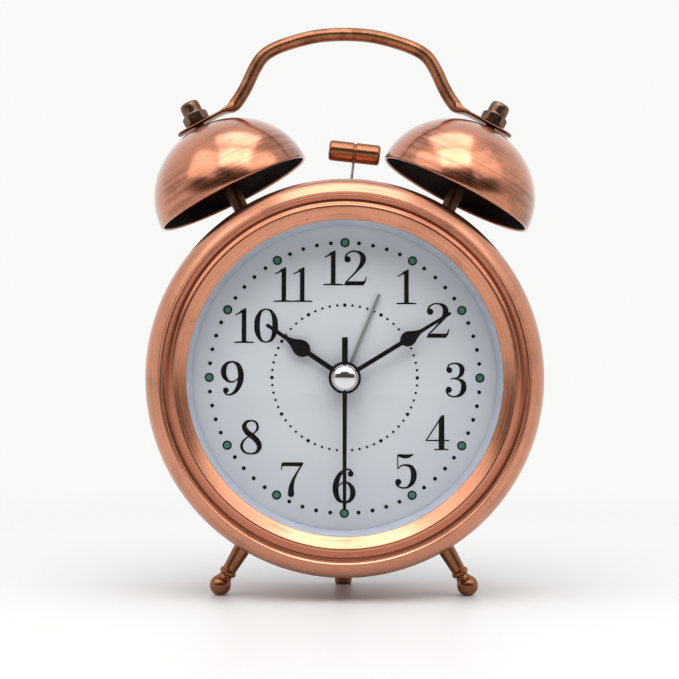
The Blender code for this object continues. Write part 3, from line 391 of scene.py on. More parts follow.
SMEAR_LINES = 900.0            # streaks of tarnish per metre
COPPER_PALE = (0.66, 0.270, 0.150)
COPPER_DEEP = (0.49, 0.180, 0.092)
BELL_PALE = (0.66, 0.255, 0.138)
BELL_DEEP = (0.48, 0.160, 0.078)
BRONZE_PALE = (0.34, 0.145, 0.074)
BRONZE_DEEP = (0.20, 0.080, 0.038)
LACQUER = 0.9                  # clear coat over the copper plate
# painted shade: colour multiplied over the bezel's cove to darken it
COVE_PAINTED_SHADE = (0.80, 0.60, 0.50)
COVE = (50.6, 52.9)            # radii between which the bezel's colour is darkened as painted shade
LOOKS = {
    "copper_plate": brushed_metal("brushed_copper", COPPER_PALE, COPPER_DEEP, 0.27, 0.50, 0.7, LACQUER),
    "bezel_copper": brushed_metal("bezel_copper", COPPER_PALE, COPPER_DEEP, 0.25, 0.50, 0.7, LACQUER, COVE),
    "bell_copper": brushed_metal("bell_copper", BELL_PALE, BELL_DEEP, 0.20, 0.80, 0.45, LACQUER, skirt=16.0),
    # painted shade: near-black finish on the inside of each bell's hollow
    "bell_inside": plain_metal("bell_inside_painted_shade", (0.030, 0.022, 0.020), (0.014, 0.011, 0.010), 0.45),
    "dark_copper": brushed_metal("turned_bronze", BRONZE_PALE, BRONZE_DEEP, 0.25, 0.20, 0.30),
    "bar_copper": plain_metal("drawn_bronze", (0.36, 0.155, 0.080), (0.17, 0.068, 0.033), 0.26),
    # dark bronze, darkened further with painted shade for the posts under the bells
    "post_bronze": plain_metal("post_bronze_painted_shade", (0.10, 0.046, 0.026), (0.050, 0.022, 0.012), 0.34),
    "nut_copper": plain_metal("worn_bronze", (0.20, 0.112, 0.072), (0.09, 0.048, 0.030), 0.24, 240.0),
    "screw_steel": plain_metal("screw_steel", (0.62, 0.62, 0.63), (0.50, 0.50, 0.51), 0.30),
    "contact_plate": plain_metal("contact_nickel", (0.72, 0.70, 0.66), (0.60, 0.58, 0.54), 0.24),
    "hub_chrome": brushed_metal("hub_chrome", (0.80, 0.80, 0.82), (0.70, 0.70, 0.72), 0.10, 0.0, 0.5,
                                lines=900.0),
    "lens_glass": clear_glass("lens_glass"),
    "white_plastic": moulded("white_plastic", (0.74, 0.77, 0.80), (0.68, 0.71, 0.74), 0.42),
    "spacer_plastic": moulded("spacer_plastic", (0.50, 0.54, 0.62), (0.46, 0.50, 0.58), 0.40),
    "clear_plastic": moulded("clear_plastic", (0.72, 0.76, 0.80), (0.64, 0.69, 0.73), 0.22, 0.1),
    "dial_print": dial_paint("silvered_dial"),
    "black_plastic": moulded("black_plastic", (0.024, 0.024, 0.026), (0.015, 0.015, 0.016), 0.42, 0.5),
    "black_enamel": moulded("black_enamel", (0.004, 0.004, 0.005), (0.003, 0.003, 0.003), 0.30, 0.05, 0.08),
    "black_ink": moulded("black_ink", (0.005, 0.005, 0.006), (0.003, 0.003, 0.004), 0.50, 0.1, 0.06),
    "green_ink": moulded("green_luminous", (0.060, 0.20, 0.135), (0.042, 0.155, 0.105), 0.50, 0.3, 0.3),
    "grey_enamel": moulded("silver_grey", (0.22, 0.235, 0.235), (0.17, 0.185, 0.185), 0.30, 0.05),
    "circuit_board": moulded("circuit_board", (0.03, 0.20, 0.08), (0.015, 0.13, 0.05), 0.40, 0.2),
    "coil_wire": plain_metal("coil_wire", (0.78, 0.36, 0.16), (0.48, 0.20, 0.08), 0.34, 900.0),
    "cell_wrap": cell_wrap("cell_wrap"),
    "pinion_brass": plain_metal("pinion_brass", (0.72, 0.54, 0.22), (0.58, 0.42, 0.16), 0.30),
    "magnet": plain_metal("ferrite", (0.14, 0.14, 0.15), (0.09, 0.09, 0.10), 0.50),
}


# -------- making pieces

def add_object(data, location=(0, 0, 0), rotation=(0, 0, 0)):
    piece = bpy.data.objects.new("piece", data)
    piece.location = location
    piece.rotation_euler = rotation
    bpy.context.scene.collection.objects.link(piece)
    return piece


def freeze(piece):
    """Turn a curve, or a mesh with modifiers, into a plain mesh with welded caps."""
    bpy.context.view_layer.update()
    evaluated = piece.evaluated_get(bpy.context.evaluated_depsgraph_get())
    mesh = bpy.data.meshes.new_from_object(evaluated)
    cage = bmesh.new()
    cage.from_mesh(mesh)
    bmesh.ops.remove_doubles(cage, verts=cage.verts, dist=1e-7)
    bmesh.ops.recalc_face_normals(cage, faces=cage.faces)
    cage.to_mesh(mesh)
    cage.free()
    solid = add_object(mesh)
    solid.matrix_world = piece.matrix_world.copy()
    bpy.data.objects.remove(piece, do_unlink=True)
    return solid


def combine(body, tools, operation):
    """Join tools to a body, or cut them from it, and remove the tools."""
    for tool in tools:
        boolean = body.modifiers.new(operation, "BOOLEAN")
        boolean.operation = operation
        boolean.solver = "EXACT"
        boolean.object = tool
    solid = freeze(body)
    for tool in tools:
        bpy.data.objects.remove(tool, do_unlink=True)
    return solid


def smooth(piece, angle=32.0):
    piece.data.shade_smooth()
    piece.data.set_sharp_from_angle(angle=math.radians(angle))
    return piece


def eased(points, radius, closed=False, count=4):
    """Round the corners of a profile or an outline."""
    rounded = []
    for index, point in enumerate(points):
        if not closed and index in (0, len(points) - 1):
            rounded.append(tuple(point))
            continue
        corner = Vector(point)
        before = Vector(points[index - 1]) - corner
        after = Vector(points[(index + 1) % len(points)]) - corner
        room = min(radius, 0.45 * before.length, 0.45 * after.length)
        start = corner + before.normalized() * room
        end = corner + after.normalized() * room
        for step in range(count + 1):
            share = step / count
            spot = start * (1 - share) ** 2 + corner * 2 * share * (1 - share) + end * share ** 2
            rounded.append(tuple(spot))
    return rounded


def turned(profile, location, rotation, steps=64, ring=False):
    """Turn a profile of (radius, height) about local Z, outer side top to bottom."""
    mesh = bpy.data.meshes.new("profile")
    points = [(radius * MM, 0.0, height * MM) for radius, height in profile]
    edges = [(index, index + 1) for index in range(len(points) - 1)]
    if ring:
        edges.append((len(points) - 1, 0))
    mesh.from_pydata(points, edges, [])
    piece = add_object(mesh, location, rotation)
    screw = piece.modifiers.new("turn", "SCREW")
    screw.axis = "Z"
    screw.steps = steps
    screw.render_steps = steps
    screw.use_merge_vertices = True
    screw.merge_threshold = 1e-6
    return smooth(freeze(piece))


def turned_on_dial(profile, place=(0.0, 0.0), steps=64, ring=False):
    """Turn a profile of (radius, y) about an axis that runs front to back."""
    return turned([(radius, -y) for radius, y in profile], on_dial(*place), FACING, steps, ring)


def circle(radius, centre=(0.0, 0.0), count=48):
    return [polar(radius, 360 * step / count, centre) for step in range(count)]


def arc(centre, radius, start, end, count=12):
    return [polar(radius, start + (end - start) * step / (count - 1), centre) for step in range(count)]


def rectangle(low, high):
    return [(low[0], low[1]), (high[0], low[1]), (high[0], high[1]), (low[0], high[1])]


def flat_piece(outlines, thickness, location, rotation=FACING, bevel=0.1):
    """A flat outline with any holes, as a solid with softened edges."""
    curve = bpy.data.curves.new("outline", "CURVE")
    curve.dimensions = "2D"
    curve.fill_mode = "BOTH"
    curve.extrude = (thickness / 2 - bevel) * MM
    curve.bevel_depth = bevel * MM
    curve.bevel_resolution = 2
    curve.offset = -bevel * MM
    for outline in outlines:
        spline = curve.splines.new("POLY")
        spline.points.add(len(outline) - 1)
        for point, (x, z) in zip(spline.points, outline):
            point.co = (x * MM, z * MM, 0.0, 1.0)
        spline.use_cyclic_u = True
    return smooth(freeze(add_object(curve, location, rotation)))


def plate(outlines, front, back, place=(0.0, 0.0), bevel=0.1):
    """A flat piece facing the front, between two depths."""
    return flat_piece(outlines, back - front, on_dial(*place, (front + back) / 2), bevel=bevel)


def block(low, high, soften=0.0):
    """A box between two corners given as (x, y, z from the dial's axis)."""
    mesh = bpy.data.meshes.new("block")
    cage = bmesh.new()
    size = [(top - bottom) * MM for bottom, top in zip(low, high)]
    bmesh.ops.create_cube(cage, size=1.0, matrix=Matrix.Diagonal((*size, 1.0)))
    if soften:
        bmesh.ops.bevel(cage, geom=cage.edges, offset=soften * MM, segments=3, profile=0.5, affect="EDGES")
    cage.to_mesh(mesh)
    cage.free()
    middle = [(bottom + top) / 2 for bottom, top in zip(low, high)]
    return smooth(add_object(mesh, on_dial(middle[0], middle[2], middle[1])))


def join(pieces):
    """Put several solids together as one piece, in the place of the first."""
    first = pieces[0]
    cage = bmesh.new()
    bpy.context.view_layer.update()
    home = first.matrix_world.inverted()
    for piece in pieces:
        mesh = piece.data.copy()
        mesh.transform(home @ piece.matrix_world)
        cage.from_mesh(mesh)
        bpy.data.meshes.remove(mesh)
    cage.to_mesh(first.data)
    cage.free()
    for piece in pieces[1:]:
        bpy.data.objects.remove(piece, do_unlink=True)
    return smooth(first)


def settle(piece):
    """Set a mesh in its place in the world, and keep its own coordinates as an attribute."""
    bpy.context.view_layer.update()
    mesh = piece.data
    own = mesh.attributes.new(OWN_PLACE, "FLOAT_VECTOR", "POINT")
    own.data.foreach_set("vector", [value for vertex in mesh.vertices for value in vertex.co])
    mesh.transform(piece.matrix_world)
    piece.matrix_world = Matrix.Identity(4)


def dress(piece, name, look, *nodes, body=None):
    """Give a piece its finish and body; it stands for the CAD nodes named, if any."""
    settle(piece)
    piece.name = name
    piece.data.materials.clear()
    piece.data.materials.append(LOOKS[look])
    if nodes:
        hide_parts(*nodes)
    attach(piece, body or BODY_OF[nodes[0]])
    return piece


# -------- case

def make_case():
    rim = [tuple(spot) for spot in smooth_route(RIM_ROUTE, 6)]
    profile = eased([(DRUM_INNER, RIM_FRONT + 0.4), rim[0], rim[1]], 0.3)[:-1] + rim[1:]
    profile += eased([(DRUM_RADIUS, RIM_ROUTE[-1][1] + 0.3), (DRUM_RADIUS, DRUM_BACK - 2.4),
                      (DRUM_RADIUS - 0.9, DRUM_BACK - 0.5), (DRUM_RADIUS - 2.4, DRUM_BACK),
                      (REAR_LIP_RADIUS, DRUM_BACK), (REAR_LIP_RADIUS, DRUM_BACK - 1.0),
                      (DRUM_RADIUS - 2.4, DRUM_BACK - 1.0), (DRUM_INNER, DRUM_BACK - 2.2)], 0.5)
    drum = turned_on_dial(profile, steps=ROUND_STEPS, ring=True)
    cutters = [block((-3.2, -1.8, DRUM_INNER - 4.0), (3.2, 1.8, DRUM_RADIUS + 4.0))]
    drum = smooth(combine(drum, cutters, "DIFFERENCE"))
    dress(drum, "drum_shell", "copper_plate", "case_drum")

    front = BEZEL_FRONT
    profile = eased([(46.2, -26.3), (46.2, -26.6), (49.6, front), (50.4, front + 0.05), (51.2, front + 0.6),
                     (52.3, front + 0.65), (53.1, front + 0.35), (53.5, front + 0.4), (53.5, -22.6),
                     (47.9, -22.6)], 0.3)
    profile.append((47.9, -26.3))
    bezel = turned_on_dial(profile, steps=ROUND_STEPS, ring=True)
    dress(bezel, "bezel", "bezel_copper", "bezel_ring")

    profile = eased([(0, LENS_FRONT), (47.6, LENS_FRONT), (47.6, LENS_BACK), (0, LENS_BACK)], 0.3)
    lens = turned_on_dial(profile, steps=ROUND_STEPS)
    dress(lens, "lens_disc", "lens_glass", "lens")
    profile = eased([(46.2, -24.3), (47.4, -24.3), (47.4, -16.5), (53.2, -16.5), (53.2, -15.3),
                     (45.4, -15.3)], 0.2, closed=True)
    spacer = turned_on_dial(profile, steps=ROUND_STEPS, ring=True)
    dress(spacer, "dial_ring", "spacer_plastic", "dial_spacer_ring")
    dial = plate([circle(52.6, count=ROUND_STEPS), circle(4.2)], DIAL_FRONT, -14.4, bevel=0.08)
    dress(dial, "dial_face", "dial_print", "dial_plate")


# -------- dial print

INK_WEIGHT = 0.97              # thickens every stroke of the figures
INK_FRONT = -15.07
INK_BACK = DIAL_FRONT + 0.02
MINUTE_TRACK = 40.4            # radii of the two rings of dots
INNER_TRACK = 21.7
NUMERAL_PLACES = {"12": (0, 32.8), "1": (18.4, 27.2), "2": (27.7, 17.2), "3": (33.1, -0.6),
                  "4": (27.8, -16.3), "5": (18.1, -27.8), "6": (0, -32.3), "7": (-15.6, -30.4),
                  "8": (-27.9, -17.8), "9": (-33.6, -0.2), "10": (-26.4, 15.5), "11": (-15.5, 27.8)}
FIGURE_SHIFTS = {"10": (-3.7, 2.9), "11": (-2.75, 2.75), "12": (-3.5, 3.0)}

# Each figure is pen strokes of (x, z, half width), balls of (x, z, radius) and straight-sided shapes.
ONE = {"shapes": [((-0.7, -4.9), (0.7, -4.9), (0.7, 5.2), (0.2, 5.2), (-0.7, 4.3)),
                  ((-3.0, -5.2), (3.0, -5.2), (3.0, -4.82), (1.2, -4.7), (-1.2, -4.7), (-3.0, -4.82))],
       "strokes": [((-2.7, 3.2, 0.16), (-1.5, 3.7, 0.24), (-0.3, 4.6, 0.42))]}
TWO = {"strokes": [((-2.95, 2.5, 0.30), (-2.5, 4.0, 0.26), (-1.1, 4.92, 0.25), (0.4, 4.95, 0.28),
                    (1.8, 4.3, 0.62), (2.45, 2.9, 0.88), (2.0, 1.2, 0.72), (0.6, -0.8, 0.36),
                    (-1.4, -2.9, 0.24), (-2.9, -4.5, 0.24)),
                   ((2.3, -4.5, 0.62), (2.9, -4.1, 0.34), (3.25, -3.3, 0.20), (3.35, -2.5, 0.14))],
       "balls": [(-2.2, 2.6, 0.95)],
       "shapes": [((-3.25, -5.2), (2.7, -5.2), (2.7, -3.95), (-1.7, -3.95), (-2.6, -4.3), (-3.25, -4.9))]}
THREE = {"strokes": [((-2.55, 3.1, 0.28), (-1.9, 4.5, 0.24), (-0.5, 4.97, 0.23), (0.9, 4.75, 0.40),
                      (1.9, 3.6, 0.76), (1.75, 1.9, 0.66), (0.7, 0.75, 0.30), (-0.6, 0.42, 0.19)),
                     ((-0.6, 0.42, 0.19), (1.0, 0.15, 0.34), (2.3, -0.9, 0.74), (2.4, -2.8, 0.84),
                      (1.4, -4.4, 0.50), (-0.3, -4.97, 0.23), (-2.0, -4.5, 0.26), (-2.75, -3.1, 0.30))],
         "balls": [(-1.85, 2.95, 0.88), (-2.0, -2.9, 0.92)],
         "shapes": [((-1.5, 0.24), (0.0, 0.24), (0.0, 0.60), (-1.5, 0.60))]}
FOUR = {"shapes": [((0.3, -4.9), (2.0, -4.9), (2.0, 5.2), (1.2, 5.2), (0.3, 4.0)),
                   ((-3.6, -2.55), (3.5, -2.55), (3.5, -2.15), (-3.6, -2.15)),
                   ((-1.0, -5.2), (3.2, -5.2), (3.2, -4.82), (-1.0, -4.82))],
        "strokes": [((1.3, 5.0, 0.22), (-1.0, 1.4, 0.20), (-3.4, -2.3, 0.20))]}
FIVE = {"strokes": [((-2.1, 4.75, 0.38), (-0.6, 4.45, 0.60), (1.0, 4.45, 0.56), (2.5, 5.05, 0.14)),
                    ((-2.2, 4.9, 0.20), (-2.2, 2.6, 0.17), (-2.2, 0.6, 0.17)),
                    ((-2.2, 0.65, 0.17), (-1.1, 1.6, 0.22), (0.4, 1.8, 0.32), (1.9, 1.1, 0.66),
                     (2.6, -0.9, 0.90), (2.2, -3.2, 0.76), (0.8, -4.75, 0.34), (-0.9, -4.95, 0.24),
                     (-2.3, -4.3, 0.26), (-2.75, -3.3, 0.28))],
        "balls": [(-2.05, -3.25, 0.92)]}
SIX = {"strokes": [((2.5, 3.7, 0.28), (1.7, 4.8, 0.24), (0.3, 4.85, 0.30), (-1.3, 3.6, 0.62),
                    (-2.4, 1.2, 0.86), (-2.6, -1.4, 0.90), (-1.8, -3.9, 0.66), (-0.2, -4.97, 0.24)),
                   ((-0.3, -4.97, 0.24), (1.5, -4.4, 0.48), (2.5, -2.6, 0.82), (2.3, -0.6, 0.74),
                    (1.0, 0.95, 0.34), (-0.6, 1.0, 0.22), (-1.9, 0.0, 0.20))],
       "balls": [(1.85, 3.65, 0.86)]}
SEVEN = {"shapes": [((-2.9, 5.15), (-2.9, 4.0), (2.6, 3.95), (3.3, 4.6), (3.35, 5.15))],
         "strokes": [((-2.75, 4.9, 0.36), (-3.05, 4.0, 0.24), (-3.2, 2.8, 0.12)),
                     ((3.1, 4.75, 0.24), (1.7, 2.5, 0.28), (0.5, 0.2, 0.46), (-0.2, -2.2, 0.78),
                      (-0.3, -4.2, 0.96))],
         "balls": [(-0.3, -4.24, 0.96)]}
EIGHT = {"strokes": [((0.2, 4.97, 0.23), (-1.3, 4.55, 0.46), (-2.0, 3.2, 0.74), (-1.2, 1.6, 0.84),
                      (0.5, 0.2, 0.86), (2.0, -1.3, 0.86), (2.5, -3.0, 0.74), (1.6, -4.5, 0.42),
                      (0.0, -4.97, 0.23)),
                     ((0.0, -4.97, 0.23), (-1.8, -4.5, 0.34), (-2.8, -2.9, 0.44), (-2.2, -1.0, 0.32),
                      (-0.5, 0.3, 0.20), (1.1, 1.4, 0.24), (2.0, 2.8, 0.38), (1.5, 4.4, 0.34),
                      (0.2, 4.97, 0.23))]}
ZERO_SIDE = ((0.0, 5.0, 0.20), (-1.5, 4.3, 0.42), (-2.5, 2.2, 0.80), (-2.7, 0.0, 0.87), (-2.5, -2.2, 0.80),
             (-1.5, -4.3, 0.42), (0.0, -5.0, 0.20))
ZERO = {"strokes": [ZERO_SIDE, tuple((-x, z, half) for x, z, half in ZERO_SIDE)]}


def half_turned(figure):
    """The figure turned upside down, which makes a nine of a six."""
    return {kind: [tuple((-part[0], -part[1], *part[2:]) for part in item) if kind != "balls"
                   else (-item[0], -item[1], item[2]) for item in items]
            for kind, items in figure.items()}


FIGURES = {"0": ZERO, "1": ONE, "2": TWO, "3": THREE, "4": FOUR, "5": FIVE, "6": SIX, "7": SEVEN,
           "8": EIGHT, "9": half_turned(SIX)}


def solid_from(vertices, faces):
    mesh = bpy.data.meshes.new("solid")
    cage = bmesh.new()
    corners = [cage.verts.new(spot) for spot in vertices]
    for face in faces:
        cage.faces.new([corners[index] for index in face])
    bmesh.ops.recalc_face_normals(cage, faces=cage.faces)
    cage.to_mesh(mesh)
    cage.free()
    return add_object(mesh)


def prism(outline, front, back):
    """A straight-sided solid between two depths, from an outline on the dial."""
    count = len(outline)
    vertices = [on_dial(x, z, depth) for depth in (front, back) for x, z in outline]
    faces = [list(range(count)), list(range(count, 2 * count))]
    for index in range(count):
        after = (index + 1) % count
        faces.append((index, after, after + count, index + count))
    return solid_from(vertices, faces)


def smooth_route(stations, steps=6):
    """Extra stations on a smooth curve through the given ones."""
    points = [Vector(station) for station in stations]
    padded = [2 * points[0] - points[1]] + points + [2 * points[-1] - points[-2]]
    route = []
    for before, start, end, after in zip(padded, padded[1:], padded[2:], padded[3:]):
        for step in range(steps):
            t = step / steps
            bend = (2 * before - 5 * start + 4 * end - after) * t ** 2
            twist = (3 * start - before - 3 * end + after) * t ** 3
            route.append(0.5 * (2 * start + (end - before) * t + bend + twist))
    return route + [points[-1]]


def pen_stroke(stations, centre, front, back):
    """A stroke of changing width, as a solid between two depths."""
    route = smooth_route(stations)
    vertices = []
    for index, spot in enumerate(route):
        ahead = route[min(index + 1, len(route) - 1)] - route[max(index - 1, 0)]
        across = Vector((-ahead.y, ahead.x)).normalized() * spot.z * INK_WEIGHT
        for sign in (1, -1):
            x = centre[0] + spot.x + sign * across.x
            z = centre[1] + spot.y + sign * across.y
            vertices += [on_dial(x, z, front), on_dial(x, z, back)]
    faces = [(0, 1, 3, 2), tuple(4 * (len(route) - 1) + index for index in (0, 1, 3, 2))]
    for index in range(len(route) - 1):
        near, far = 4 * index, 4 * index + 4
        faces += [(near + a, near + b, far + b, far + a) for a, b in ((0, 1), (1, 3), (3, 2), (2, 0))]
    return solid_from(vertices, faces)


def draw_figure(figure, centre, back):
    """One figure as a single solid; each part stands a hair prouder than the last."""
    parts = []
    front = INK_FRONT
    for stations in figure.get("strokes", []):
        parts.append(pen_stroke(stations, centre, front, back))
        front -= 0.003
    for x, z, radius in figure.get("balls", []):
        parts.append(prism(circle(radius, (centre[0] + x, centre[1] + z), 28), front, back))
        front -= 0.003
    for outline in figure.get("shapes", []):
        parts.append(prism([(centre[0] + x, centre[1] + z) for x, z in outline], front, back))
        front -= 0.003
    return combine(parts[0], parts[1:], "UNION")


def make_dial_print():
    figures = []
    for text, (x, z) in NUMERAL_PLACES.items():
        shifts = FIGURE_SHIFTS.get(text, (0.0,))
        for letter, shift in zip(text, shifts):
            figures.append(draw_figure(FIGURES[letter], (x + shift, z), INK_BACK))
    dress(join(figures), "dial_numerals", "black_ink", body="case")
    dots = []
    greens = []
    for step in range(60):
        angle = 90 - 6 * step
        five = step % 5 == 0
        outer = polar(MINUTE_TRACK, angle)
        inner = polar(INNER_TRACK, angle)
        dots.append(prism(circle(1.4 if five else 0.6, outer, 32 if five else 16), INK_FRONT, INK_BACK))
        dots.append(prism(circle(0.55 if five else 0.38, inner, 16), INK_FRONT, INK_BACK))
        if five:
            greens.append(prism(circle(0.93, outer, 32), INK_FRONT - 0.12, INK_FRONT + 0.02))
    dress(join(dots), "minute_dots", "black_ink", body="case")
    dress(join(greens), "luminous_dots", "green_ink", body="case")


# -------- hands

# Places along a hand's pear-shaped body, and how full it is there, as shares of its half width.
PEAR_SHAPE = ((-0.97, 0.42), (-0.70, 0.76), (-0.25, 0.97), (0.15, 0.97), (0.60, 0.72), (1.05, 0.36),
              (1.50, 0.12))


def hand_outline(stations, boss, closed_end):
    """Right side of a hand from its boss to its tip, mirrored to the left."""
    route = [(spot.y, spot.x) for spot in smooth_route([(reach, half) for reach, half in stations], 5)]
    lowest = math.degrees(math.asin(min(route[0][1] / boss, 1.0)))
    right = [polar(boss, -90 + (90 + lowest) * step / 24) for step in range(25)] + route
    end = right[-1]
    right += [(end[0] * math.cos(turn), end[1] + closed_end * math.sin(turn))
              for turn in (math.pi / 2 * step / 5 for step in range(1, 6))]
    left = [(-x, z) for x, z in right[1:-1]]
    return right + left[::-1]


def turn_outline(outline, clockwise):
    turn = math.radians(-clockwise)
    return [(x * math.cos(turn) - z * math.sin(turn), x * math.sin(turn) + z * math.cos(turn))
            for x, z in outline]


def pear_stations(boss, middle, bulb, shaft, end):
    """Half widths along a hand with a pear-shaped body between two narrow bars."""
    back = [(boss * 0.97, shaft), (middle - 1.75 * bulb, shaft), (middle - 1.22 * bulb, shaft * 1.02)]
    body = [(middle + bulb * place, shaft + share * (bulb - shaft)) for place, share in PEAR_SHAPE]
    tip = [(middle + bulb * 2.1, shaft * 0.86), (end - 2.5, shaft * 0.72), (end - 0.5, shaft * 0.68)]
    return back + body + tip


def make_hands():
    boss_hour = hand_outline(pear_stations(4.2, 15.8, 2.5, 0.78, 28.2), 4.2, 0.5)
    hour = plate([turn_outline(boss_hour, 304.0), circle(1.8)], -17.2, -16.8, bevel=0.07)
    dress(hour, "hour_pointer", "black_enamel", "hour_hand")
    boss_minute = hand_outline(pear_stations(4.4, 22.3, 2.25, 0.68, 37.0), 4.4, 0.5)
    minute = plate([turn_outline(boss_minute, 58.4), circle(0.8)], -18.6, -18.2, bevel=0.07)
    dress(minute, "minute_pointer", "black_enamel", "minute_hand")
    blade = hand_outline([(4.6, 0.68), (15.0, 0.63), (30.0, 0.56), (38.3, 0.5)], 4.8, 0.5)
    tail = rectangle((-0.87, -12.0), (0.87, -3.0))
    second = plate([turn_outline(blade, 180.0)], -20.2, -19.8, bevel=0.07)
    counter = plate([turn_outline(eased(tail, 0.15, True), 180.0)], -20.18, -19.82, bevel=0.06)
    dress(join([second, counter]), "second_pointer", "black_enamel", "second_hand")
    thin = hand_outline([(4.0, 0.45), (15.0, 0.45), (26.6, 0.45)], 4.2, 0.4)
    alarm = plate([turn_outline(thin, 22.4), circle(2.9)], -16.0, -15.6, bevel=0.06)
    dress(alarm, "alarm_pointer", "grey_enamel", "alarm_hand")
    turns = [math.pi / 2 * step / 20 for step in range(21)]
    dome = [(4.1 * math.sin(turn), -20.5 - 2.5 * math.cos(turn)) for turn in turns]
    dress(turned_on_dial(dome + [(3.9, -20.4), (0, -20.4)], steps=96), "hub_dome", "hub_chrome", "hub_cap")


# -------- bells, handle and feet

def make_bell(side, name):
    tilt = (0.0, side * BELL_TILT, 0.0)

    def half_ellipse(radius, height, bore):
        top = math.asin(bore / radius)
        turns = [top + (math.pi / 2 - top) * step / 40 for step in range(41)]
        return [(radius * math.sin(turn), height * math.cos(turn)) for turn in turns]

    outside = half_ellipse(BELL_RADIUS, BELL_HEIGHT, 1.85)
    inside = half_ellipse(BELL_RADIUS - BELL_WALL, BELL_HEIGHT - BELL_WALL, 1.85)
    rim = arc((BELL_RADIUS - BELL_WALL / 2, 0.0), BELL_WALL / 2, 0, -180, 7)
    bell = turned(outside + rim + inside[::-1], bell_point(side, 0), tilt, ROUND_STEPS, ring=True)
    # painted shade: the faces inside the bell's hollow take the near-black finish
    inner = [face.index for face in bell.data.polygons if face.normal.dot(face.center) < 0 < face.center.z]
    dress(bell, f"bell_dome_{name}", "bell_copper", f"bell_{name}")
    bell.data.materials.append(LOOKS["bell_inside"])
    for index in inner:
        bell.data.polygons[index].material_index = 1

    profile = eased([(0, 27.2), (1.5, 27.2), (1.5, 21.4), (2.3, 21.4), (2.3, -11.2), (1.5, -11.2),
                     (1.5, -16.4), (0, -16.4)], 0.25)
    post = turned(profile, bell_point(side, 0), tilt, 48)
    dress(post, f"post_{name}", "post_bronze", f"bell_post_{name}")

    corner = 7.0 / math.sqrt(3)
    nut = flat_piece([circle(corner, count=6)], 3.0, bell_point(side, 25.9), tilt, bevel=0.05)
    profile = [(0, 27.4), (3.45, 27.4), (corner + 0.02, 26.9), (corner + 0.02, 24.9), (3.45, 24.4), (0, 24.4)]
    chamfer = turned(profile, bell_point(side, 0), tilt, 48)
    nut = combine(nut, [chamfer], "INTERSECT")
    crown = eased([(0, 31.6), (1.6, 31.5), (2.9, 31.0), (3.1, 29.6), (3.1, 27.7), (3.35, 27.3), (3.35, 27.0),
                   (0, 27.0)], 0.7)
    dome = turned(crown, bell_point(side, 0), tilt, 48)
    nut = smooth(combine(nut, [dome], "UNION"), 25)
    dress(nut, f"cap_nut_{name}", "nut_copper", f"acorn_nut_{name}")


TAB_START = (3.6, 0.72)        # half width and half thickness where the bar is pressed flat
# Share of the way along a tab, with the half width and half thickness there.
TAB_SHAPE = ((0.03, 3.65, 0.6), (0.10, 3.7, 0.52), (0.5, 3.7, 0.5), (0.80, 3.7, 0.5), (0.86, 3.55, 0.5),
             (0.92, 3.0, 0.5), (0.96, 2.3, 0.5), (0.99, 1.2, 0.46), (1.0, 0.5, 0.4))


def make_handle():
    """Round bar bent into a carrying handle and pressed flat over each bell."""
    tab_start = bell_point(1, TAB_ALONG + 0.4, -8.6)
    tab_end = bell_point(1, TAB_ALONG, 7.2)
    half = [on_dial(x, z) for x, z in HANDLE_ROUTE] + [tab_start]
    mirrored = [Vector((-spot.x, spot.y, spot.z)) for spot in half[:0:-1]]
    bar = smooth_route(mirrored + half, 8)
    reach = [0.0]
    for near, far in zip(bar, bar[1:]):
        reach.append(reach[-1] + (far - near).length)
    stations = []
    for spot, along in zip(bar, reach):
        to_tab = min(along, reach[-1] - along) / MM
        flat = max(0.0, 1.0 - to_tab / 4.5)
        flat = flat * flat * (3 - 2 * flat)
        wide = HANDLE_WIRE + (TAB_START[0] - HANDLE_WIRE) * flat
        thick = HANDLE_WIRE + (TAB_START[1] - HANDLE_WIRE) * flat
        stations.append((spot, wide, thick))
    for share, wide, thick in TAB_SHAPE:
        stations.append((tab_start.lerp(tab_end, share), wide, thick))
        opposite = tab_start.lerp(tab_end, share)
        opposite.x *= -1
        stations.insert(0, (opposite, wide, thick))
    ring_count = 24
    vertices = []
    for index, (spot, wide, thick) in enumerate(stations):
        ahead = stations[min(index + 1, len(stations) - 1)][0] - stations[max(index - 1, 0)][0]
        out = Vector((-ahead.z, 0.0, ahead.x)).normalized()
        power = 1.0 if wide < 2.2 else 0.7
        for step in range(ring_count):
            turn = TAU * step / ring_count
            across = math.copysign(abs(math.cos(turn)) ** power, math.cos(turn)) * wide
            up = math.copysign(abs(math.sin(turn)) ** power, math.sin(turn)) * thick
            vertices.append(spot + (Vector((0.0, across, 0.0)) + out * up) * MM)
    faces = [list(range(ring_count)), list(range(len(vertices) - ring_count, len(vertices)))]
    for index in range(len(stations) - 1):
        for step in range(ring_count):
            near = index * ring_count
            after = (step + 1) % ring_count
            faces.append((near + step, near + after, near + ring_count + after, near + ring_count + step))
    dress(smooth(solid_from(vertices, faces), 40), "carry_bar", "bar_copper", "handle")


